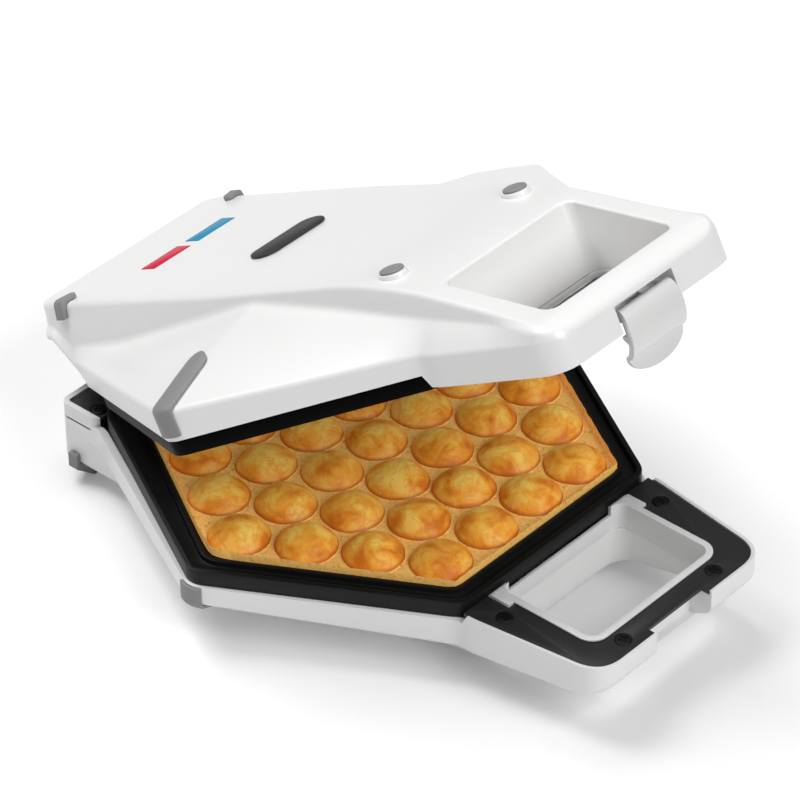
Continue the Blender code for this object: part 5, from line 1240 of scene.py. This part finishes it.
base_plate = handle_plate("base_handle_plate", BASE_HALF, MOUTH_REAR)
drill(base_plate, NOSE_SCREW, HANDLE_SEAT)
drill(base_plate, NECK_SCREW, HANDLE_SEAT)
place(soften(base_plate, EDGE_FINE), "base", BLACK_COVER, "base_handle_cover")
lid_plate = handle_plate("lid_handle_plate", LID_HALF, NOSE_Y + NOTCH_DEPTH)
place(soften(lid_plate, EDGE_FINE), "lid", BLACK_COVER, "lid_handle_cover")

# %% [markdown]
# A sleeve is a wall round the opening with its lip and ears joined on. Room is then cut for the cooking
# plate's rim, and in the base also for the skirt of the upper plate, which comes down there when shut.

# %% Grip sleeves
def grip_sleeve(name, half, rim_step):
    """White lining of the grip opening, with its lip and its two ears."""
    side, rear = half["side"], half["cover_rear"]
    sleeve = raised(name, opening_outline(LINER_WALL), *levels(side, 0.0, half["liner"]))
    join(sleeve, raised("lip", opening_outline(LINER_LIP), *levels(side, 0.0, LIP)))
    join(sleeve, block("ears", -EAR_HALF, EAR_HALF, EAR_FRONT, rear,
                       *levels(side, 0.0, min(LINER_DEPTH / 2.0, half["liner"]))))
    cut(sleeve, raised("grip", opening_outline(0.0), -FAR, FAR))
    cut(sleeve, block("rim room", -BODY_SIDE, BODY_SIDE, rear, 0.0, *levels(side, -FAR, rim_step)))
    if side < 0.0:
        cut(sleeve, block("skirt room", -BODY_SIDE, BODY_SIDE, LID_HALF["cover_rear"], 0.0,
                          SKIRT_BOTTOM - GAP, FAR))
        reach = OPENING_HALF - OPENING_CORNER
        cut(sleeve, block("low wall", -reach, reach, OPENING_REAR - LINER_LIP, 0.0,
                          split(side, rim_step), FAR))
    return soften(sleeve, 0.0003)


place(grip_sleeve("base_sleeve_moulding", BASE_HALF, 0.0052), "base", WHITE_SHELL, "base_grip_sleeve")
place(grip_sleeve("lid_sleeve_moulding", LID_HALF, 0.0055), "lid", WHITE_SHELL, "lid_grip_sleeve")

# %% [markdown]
# ## Guards, wraps, pads and feet
# Gray rubber strips sit on the corners that the iron is stood on or knocked against. A strip that
# follows a moulding is best made from the moulding's own surface: the shell's solid is grown by the
# strip's thickness, clipped to the strip's plan, and the shell is taken away again. So it fits by
# construction, however the shell is shaped.

# %% Strips that follow the shells
GUARD_HALF = 0.0053
GUARD_INNER = 0.0848
GUARD_FOOT = 0.0062
GUARD_PROUD = 0.0012
WRAP_HALF = 0.0025
WRAP_START = (0.0465, 0.1215)
WRAP_TURN = math.radians(14.0)
WRAP_FOOT = 0.0325
WRAP_PROUD = 0.0020


def strip(name, half, region, proud, edge):
    """Even skin over a shell inside a region."""
    patch = shell_solid(name, half, -proud, 0.0)
    clip(patch, region)
    cut(patch, shell_solid("core", half, -GAP, FAR))
    return soften(patch, edge)


guard_plan = soft_oblong(-BODY_SIDE - FAR, -GUARD_INNER, -GUARD_HALF, GUARD_HALF, GUARD_HALF * 0.99, 12)
region = raised("region", guard_plan, GUARD_FOOT, CROWN)
place(strip("lid_guard_strip", LID_HALF, region, GUARD_PROUD, EDGE_FINE), "lid", GREY_TRIM,
      "lid_guard_left")
region = raised("region", guard_plan, -CROWN, -BASE_RIM - GAP)
place(strip("base_guard_strip", BASE_HALF, region, GUARD_PROUD, EDGE_FINE), "base", GREY_TRIM,
      "base_guard_left")

for sign, tag in SIDES:
    along = Vector((sign * math.cos(WRAP_TURN), math.sin(WRAP_TURN)))
    across = Vector((-along.y, along.x)) * WRAP_HALF
    start = Vector((sign * WRAP_START[0], WRAP_START[1]))
    end = start + along * FAR
    corners = [tuple(start - across), tuple(end - across), tuple(end + across), tuple(start + across)]
    if sign < 0.0:
        corners.reverse()
    region = raised("region", rounded(corners, WRAP_HALF * 0.9, 6), WRAP_FOOT, CROWN + FAR)
    place(strip("lid_wrap_strip_" + tag, LID_HALF, region, WRAP_PROUD, 0.0006), "lid", GREY_TRIM,
          "lid_wrap_" + tag)

# %% [markdown]
# Each boss carries a cushion of the same rubber. The lid's pair is what the iron stands on when it is
# turned over, and the base's pair are its front feet.

# %% Pads on their bosses
for sign, tag in SIDES:
    for half, word in ((LID_HALF, "lid"), (BASE_HALF, "base")):
        foot = half["boss"]
        top = foot + PAD_RISE
        rows = ((0.0, foot + GAP), (0.0, top - 0.0005), (-0.0002, top - 0.00015), (-0.0006, top))
        place(oval(word + "_pad_cushion_" + tag, sign, half["side"], rows), word, GREY_TRIM,
              word + "_pad_" + tag)

# %% [markdown]
# ## Latch
# The lever hangs from a pin in the nose of the lid. Its front bulges a little, rolls back to a crease,
# and below the crease a flat half disc gives the finger something to pull. One section in depth and
# height is skinned across the width, and only the disc's depth changes from section to section.

# %% Latch lever
LEVER_HALF = 0.0160
LEVER_TOP_HALF = 0.0149
LEVER_TOP = 0.0075
CREASE = -0.0134
DISC_DEPTH = 0.0080
PIVOT = (NOSE_Y + 0.0065, 0.0045)
PIN_BOSS = 0.00265
PIN_HOLE = 0.0014
EAR_INNER, EAR_OUTER = 0.01235, 0.01501
TOOTH_HALF = 0.0130
TOOTH_TOP = split(-1.0, LIP + GAP + COVER) - GAP
TOOTH_REAR = MOUTH_REAR + 0.0015
LEVER_FRONT = ((0.0022, 0.0071), (0.0010, 0.0070), (-0.0002, 0.0062), (-0.0011, 0.0048), (-0.0018, 0.0025),
               (-0.0020, 0.0), (-0.0021, -0.0028), (-0.0018, -0.0055), (-0.0012, -0.0078),
               (-0.0003, -0.0100), (0.0007, -0.0117), (0.0017, -0.0128), (0.0026, CREASE))
LEVER_BACK = ((0.0054, -0.0124), (0.0034, -0.0112), (0.0018, -0.0086), (0.0007, -0.0050),
              (0.0004, -0.0010), (0.0008, 0.0030), (0.0018, 0.0055), (0.0028, 0.0068))
LEVER_STATIONS = (1.0, 0.996, 0.985, 0.96, 0.92, 0.86, 0.78, 0.68, 0.56, 0.42, 0.27, 0.1)


def lever_section(x):
    """Ring of (y, z) points at one place across the lever."""
    disc = DISC_DEPTH * math.sqrt(max(1.0 - (x / LEVER_HALF) ** 2, 0.0)) + 0.0003
    lip = ((0.0040, CREASE - disc * 0.1), (0.0040, CREASE - disc + 0.0001), (0.0043, CREASE - disc),
           (0.0053, CREASE - disc), (0.0056, CREASE - disc + 0.0001), (0.0056, CREASE - disc * 0.5))
    return [(NOSE_Y + y, z) for y, z in LEVER_FRONT + lip + LEVER_BACK]


def lever_half(z):
    """Half width of the lever at a height: it narrows toward its top."""
    return LEVER_HALF + (LEVER_TOP_HALF - LEVER_HALF) * min(max(z / LEVER_TOP, 0.0), 1.0)


def side_block(name, outline, left, right):
    """Raise a (y, z) outline across X."""
    return skin(name, [[(x, y, z) for y, z in outline] for x in (left, right)])


stations = [-share for share in LEVER_STATIONS] + list(reversed(LEVER_STATIONS))
lever = skin("latch_lever_moulding", [[(share * lever_half(z), y, z)
                                       for y, z in lever_section(share * LEVER_HALF)]
                                      for share in stations])
ear = [(NOSE_Y + 0.0005, 0.0022), (PIVOT[0], 0.0019), (PIVOT[0], 0.0071), (NOSE_Y + 0.0005, 0.0068)]
for left, right in ((-EAR_OUTER, -EAR_INNER), (EAR_INNER, EAR_OUTER)):
    join(lever, side_block("ear", ear, left, right))
    join(lever, side_block("boss", ring_points(PIVOT, PIN_BOSS, 24), left, right))
tooth = [(NOSE_Y + 0.0003, TOOTH_TOP), (TOOTH_REAR, TOOTH_TOP), (TOOTH_REAR, TOOTH_TOP - 0.0012),
         (NOSE_Y + 0.0030, TOOTH_TOP - 0.0058), (NOSE_Y + 0.0012, TOOTH_TOP - 0.0040)]
join(lever, side_block("tooth", tooth, -TOOTH_HALF, TOOTH_HALF))
cut(lever, side_block("pin hole", ring_points(PIVOT, PIN_HOLE, 24), -FAR, FAR))
lever = place(lever, "latch", WHITE_LEVER, "latch_lever", angle=35.0)

# %% [markdown]
# Behind its front, from the crease up to the tooth, the lever is given the dark finish of the covers.
# Those faces are found by where they lie when the lid is shut.

# %% Dark back of the lever
lever.data.materials.append(BLACK_COVER)
for face in lever.data.polygons:
    shut = OPENED.inverted() @ face.center
    if shut.y > NOSE_Y + 0.0040 and CREASE + 0.001 < shut.z < TOOTH_TOP + GAP:
        face.material_index = 1
print("dark faces:", sum(face.material_index for face in lever.data.polygons))

# %% [markdown]
# ## Screws
# The dark plates are held by round-head cross screws. One head is drawn once, and Geometry Nodes
# repeats it at every place on the plates, each turned by its own amount, as hand-driven screws are.

# %% Geometry Nodes: screws at their places
HEAD = 0.0034
HEAD_TOP = 0.0006
SHANK = 0.0014
SHANK_END = -0.0090


def screw_head():
    """Round head with a cross recess and its shank, seated at height zero."""
    head = turned("screw head", [(SHANK, SHANK_END), (SHANK, 0.0), (HEAD * 0.96, 0.0), (HEAD, 0.0002),
                                 (HEAD * 0.97, 0.0004), (HEAD * 0.88, HEAD_TOP * 0.9),
                                 (HEAD * 0.7, HEAD_TOP), (HEAD * 0.1, HEAD_TOP)], 28)
    long, thin = HEAD * 0.62, HEAD * 0.15
    for half_x, half_y in ((long, thin), (thin, long)):
        cut(head, block("slot", -half_x, half_x, -half_y, half_y, HEAD_TOP * 0.35, HEAD_TOP * 2.0))
    return head


def screw_group():
    """Puts a screw on every point of a mesh, each turned by its own amount."""
    tree, given, put_out = new_group(
        "screws", "GeometryNodeTree",
        (("Geometry", "Geometry", None), ("Screw", "Object", None), ("Seed", "Int", None),
         ("Surface", "Material", None)), (("Geometry", "Geometry"),))
    places = node(tree, "GeometryNodeMeshToPoints", {"Mesh": given["Geometry"]}).outputs["Points"]
    turn = node(tree, "FunctionNodeRandomValue", {3: math.pi, "Seed": given["Seed"]}, data_type="FLOAT")
    around = xyz(tree, Z=turn.outputs[1])
    put_out_mesh(tree, put_out, copies(tree, places, given["Screw"], {"Rotation": around}),
                 given["Surface"])
    return tree


spots = [(sign * x, y, level - COUNTERSINK_DEPTH + GAP * 0.3)
         for (x, y), level in ((NOSE_SCREW, HANDLE_SEAT), (NECK_SCREW, HANDLE_SEAT), (REAR_SCREW, REAR_SEAT))
         for sign, _ in SIDES]
spot_mesh = bpy.data.meshes.new("cover_screws")
spot_mesh.from_pydata(spots, [], [])
screws = bpy.data.objects.new("cover_screws", spot_mesh)
bpy.context.scene.collection.objects.link(screws)
head = screw_head()
run_nodes(screws, screw_group(), screw=head, seed=3, surface=BLACKENED_STEEL)
bpy.data.objects.remove(head, do_unlink=True)
place(screws, "base", BLACKENED_STEEL, *[word + "_screw_" + tag for word in ("nose", "neck", "rear")
                                         for tag in ("left", "right")])

# %% [markdown]
# ## Rear cover, lenses and badge
# A dark cover closes the box behind the plate. It is a flat plate with its rear corners cut, and its two
# screws stand in seats like those of the handle.

# %% Rear cover
COVER_SIDE = BOX_HALF - WALL - GAP
COVER_REAR = BOX_REAR - WALL - GAP
REAR_COVER_FRONT = 0.1011
CORNER_CUT = 0.0015
CORNER_MIDDLE = 0.0004
cover_plan = mirrored([(0.0, REAR_COVER_FRONT), (COVER_SIDE, REAR_COVER_FRONT),
                       (COVER_SIDE, COVER_REAR - CORNER_CUT),
                       (COVER_SIDE - CORNER_MIDDLE, COVER_REAR - CORNER_MIDDLE),
                       (COVER_SIDE - CORNER_CUT, COVER_REAR), (0.0, COVER_REAR)])
rear_cover = raised("rear_cover_moulding", cover_plan, REAR_SEAT - COVER, REAR_SEAT)
drill(rear_cover, REAR_SCREW, REAR_SEAT)
place(soften(rear_cover, EDGE_FINE), "base", BLACK_COVER, "base_rear_cover")

# %% [markdown]
# The two lights are flush bars with a fine edge, and the badge is a bare plate with round ends that lies
# on the crown.

# %% Lenses and badge
LENS_FOOT = 0.0034
LENS_PROUD = 0.0002
for name, (start, end), surface in (("red_lens", RED_BAR, RED_LENS), ("blue_lens", BLUE_BAR, BLUE_LENS)):
    bar = block(name + "_bar", start, end, BAR_FRONT, BAR_REAR, CROWN - LENS_FOOT, CROWN + LENS_PROUD)
    place(soften(bar, 0.0002), "lid", surface, name)
BADGE_SPOT = (0.0015, 0.0325)
BADGE_HALF = (0.0198, 0.0070)
badge_plan = soft_oblong(BADGE_SPOT[0] - BADGE_HALF[0], BADGE_SPOT[0] + BADGE_HALF[0],
                         BADGE_SPOT[1] - BADGE_HALF[1], BADGE_SPOT[1] + BADGE_HALF[1],
                         BADGE_HALF[1] * 0.98, 12)
badge = raised("badge_plate", badge_plan, CROWN + GAP, CROWN + GAP + 0.0008, 0.0003, 2)
place(badge, "lid", BADGE_DARK, "badge")

# %% [markdown]
# ## Pieces kept from the frame
# What is inside the shells, and the small parts of the hinge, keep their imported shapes. They get the
# finish that the same part has on a real iron.

# %% Finishes for the carried-over pieces
KEPT = ((STEEL, ("hinge_bracket_left", "hinge_bracket_right", "hinge_pin_left", "hinge_pin_right",
                 "latch_pin", "latch_spring", "lower_element", "upper_element", "thermostat",
                 "lower_heat_shield", "upper_heat_shield")),
        (BLACK_COVER, ("hinge_arm_left", "hinge_arm_right", "cord_inlet")),
        (GREY_TRIM, ("base_wrap_left", "base_wrap_right")),
        (CERAMIC, ("terminal_block", "thermal_fuse")),
        (LEAD_SLEEVE, ("lead_left", "lead_right")),
        (RED_LENS, ("red_lamp",)),
        (BLUE_LENS, ("blue_lamp",)))
for finish, pieces in KEPT:
    for name in pieces:
        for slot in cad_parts[name].material_slots:
            slot.material = finish
print("kept pieces:", sum(len(pieces) for _, pieces in KEPT))

# %% [markdown]
# ## Light and floor
# The photograph is a white studio shot: one broad light high behind the iron, a weaker one in front of
# its nose and a pale room all round. Two area lamps and a pale world do the same, and the soft shadow
# falls forward and to the right. The floor is seen as white, because a little light of its own is
# added for camera rays only, and more of it far from the iron, where the lamps no longer reach.

# %% Studio
ROOM_LIGHT = 0.16
PURE_WHITE = (1.0, 1.0, 1.0, 1.0)
scene = bpy.context.scene
scene.view_settings.view_transform = "Standard"
studio = bpy.data.worlds.new("studio")
scene.world = studio
studio.use_nodes = True
tree = studio.node_tree
room = tree.nodes["Background"]
feed(tree, room, {"Color": PURE_WHITE, "Strength": ROOM_LIGHT})
backdrop = node(tree, "ShaderNodeBackground", {"Color": PURE_WHITE, "Strength": 1.0})
seen = node(tree, "ShaderNodeLightPath").outputs["Is Camera Ray"]
choice = node(tree, "ShaderNodeMixShader",
              {"Fac": seen, 1: room.outputs["Background"], 2: backdrop.outputs["Background"]})
feed(tree, tree.nodes["World Output"], {"Surface": choice.outputs["Shader"]})


def soft_lamp(name, spot, aim, size, power):
    """Square area lamp at a spot, turned toward a point."""
    data = bpy.data.lights.new(name, "AREA")
    data.energy = power
    data.size = size
    lamp = bpy.data.objects.new(name, data)
    lamp.location = spot
    lamp.rotation_euler = (Vector(aim) - Vector(spot)).to_track_quat("-Z", "Y").to_euler()
    scene.collection.objects.link(lamp)


soft_lamp("top_lamp", (-0.2, 1.0, 2.3), (0.0, 0.0, 0.05), 1.6, 53.0)
soft_lamp("front_lamp", (-0.1, -1.80, 1.60), (0.0, 0.0, 0.05), 1.2, 29.0)
print("lamps:", len(bpy.data.lights))

# %% [markdown]
# The floor is a matt sheet under the feet. What it adds of its own grows with the distance from the
# iron, between two radii, and only rays from the camera see it, so it lights nothing else.

# %% Floor
floor_white = bpy.data.materials.new("floor_white")
floor_white.use_nodes = True
tree = floor_white.node_tree
tree.nodes.remove(tree.nodes["Principled BSDF"])
matt = node(tree, "ShaderNodeBsdfDiffuse", {"Color": (0.86, 0.86, 0.86, 1.0)})
away = node(tree, "ShaderNodeVectorMath", {0: object_spot(tree)}, operation="LENGTH")
fade = node(tree, "ShaderNodeMapRange",
            {"Value": away.outputs["Value"], "From Min": 0.35, "From Max": 1.30, "To Min": 0.14,
             "To Max": 0.90}, interpolation_type="SMOOTHSTEP")
seen = node(tree, "ShaderNodeLightPath").outputs["Is Camera Ray"]
glow = node(tree, "ShaderNodeEmission", {"Strength": calc(tree, "MULTIPLY", seen, fade.outputs["Result"])})
both = node(tree, "ShaderNodeAddShader", {0: matt.outputs["BSDF"], 1: glow.outputs["Emission"]})
feed(tree, tree.nodes["Material Output"], {"Surface": both.outputs["Shader"]})
shape = bmesh.new()
bmesh.ops.create_grid(shape, x_segments=1, y_segments=1, size=4.0)
floor_data = bpy.data.meshes.new("floor")
shape.to_mesh(floor_data)
shape.free()
floor_data.materials.append(floor_white)
floor = bpy.data.objects.new("floor", floor_data)
scene.collection.objects.link(floor)
floor.location = (0.0, 0.0, -0.0002)
print("floor", len(floor_data.polygons), "face")
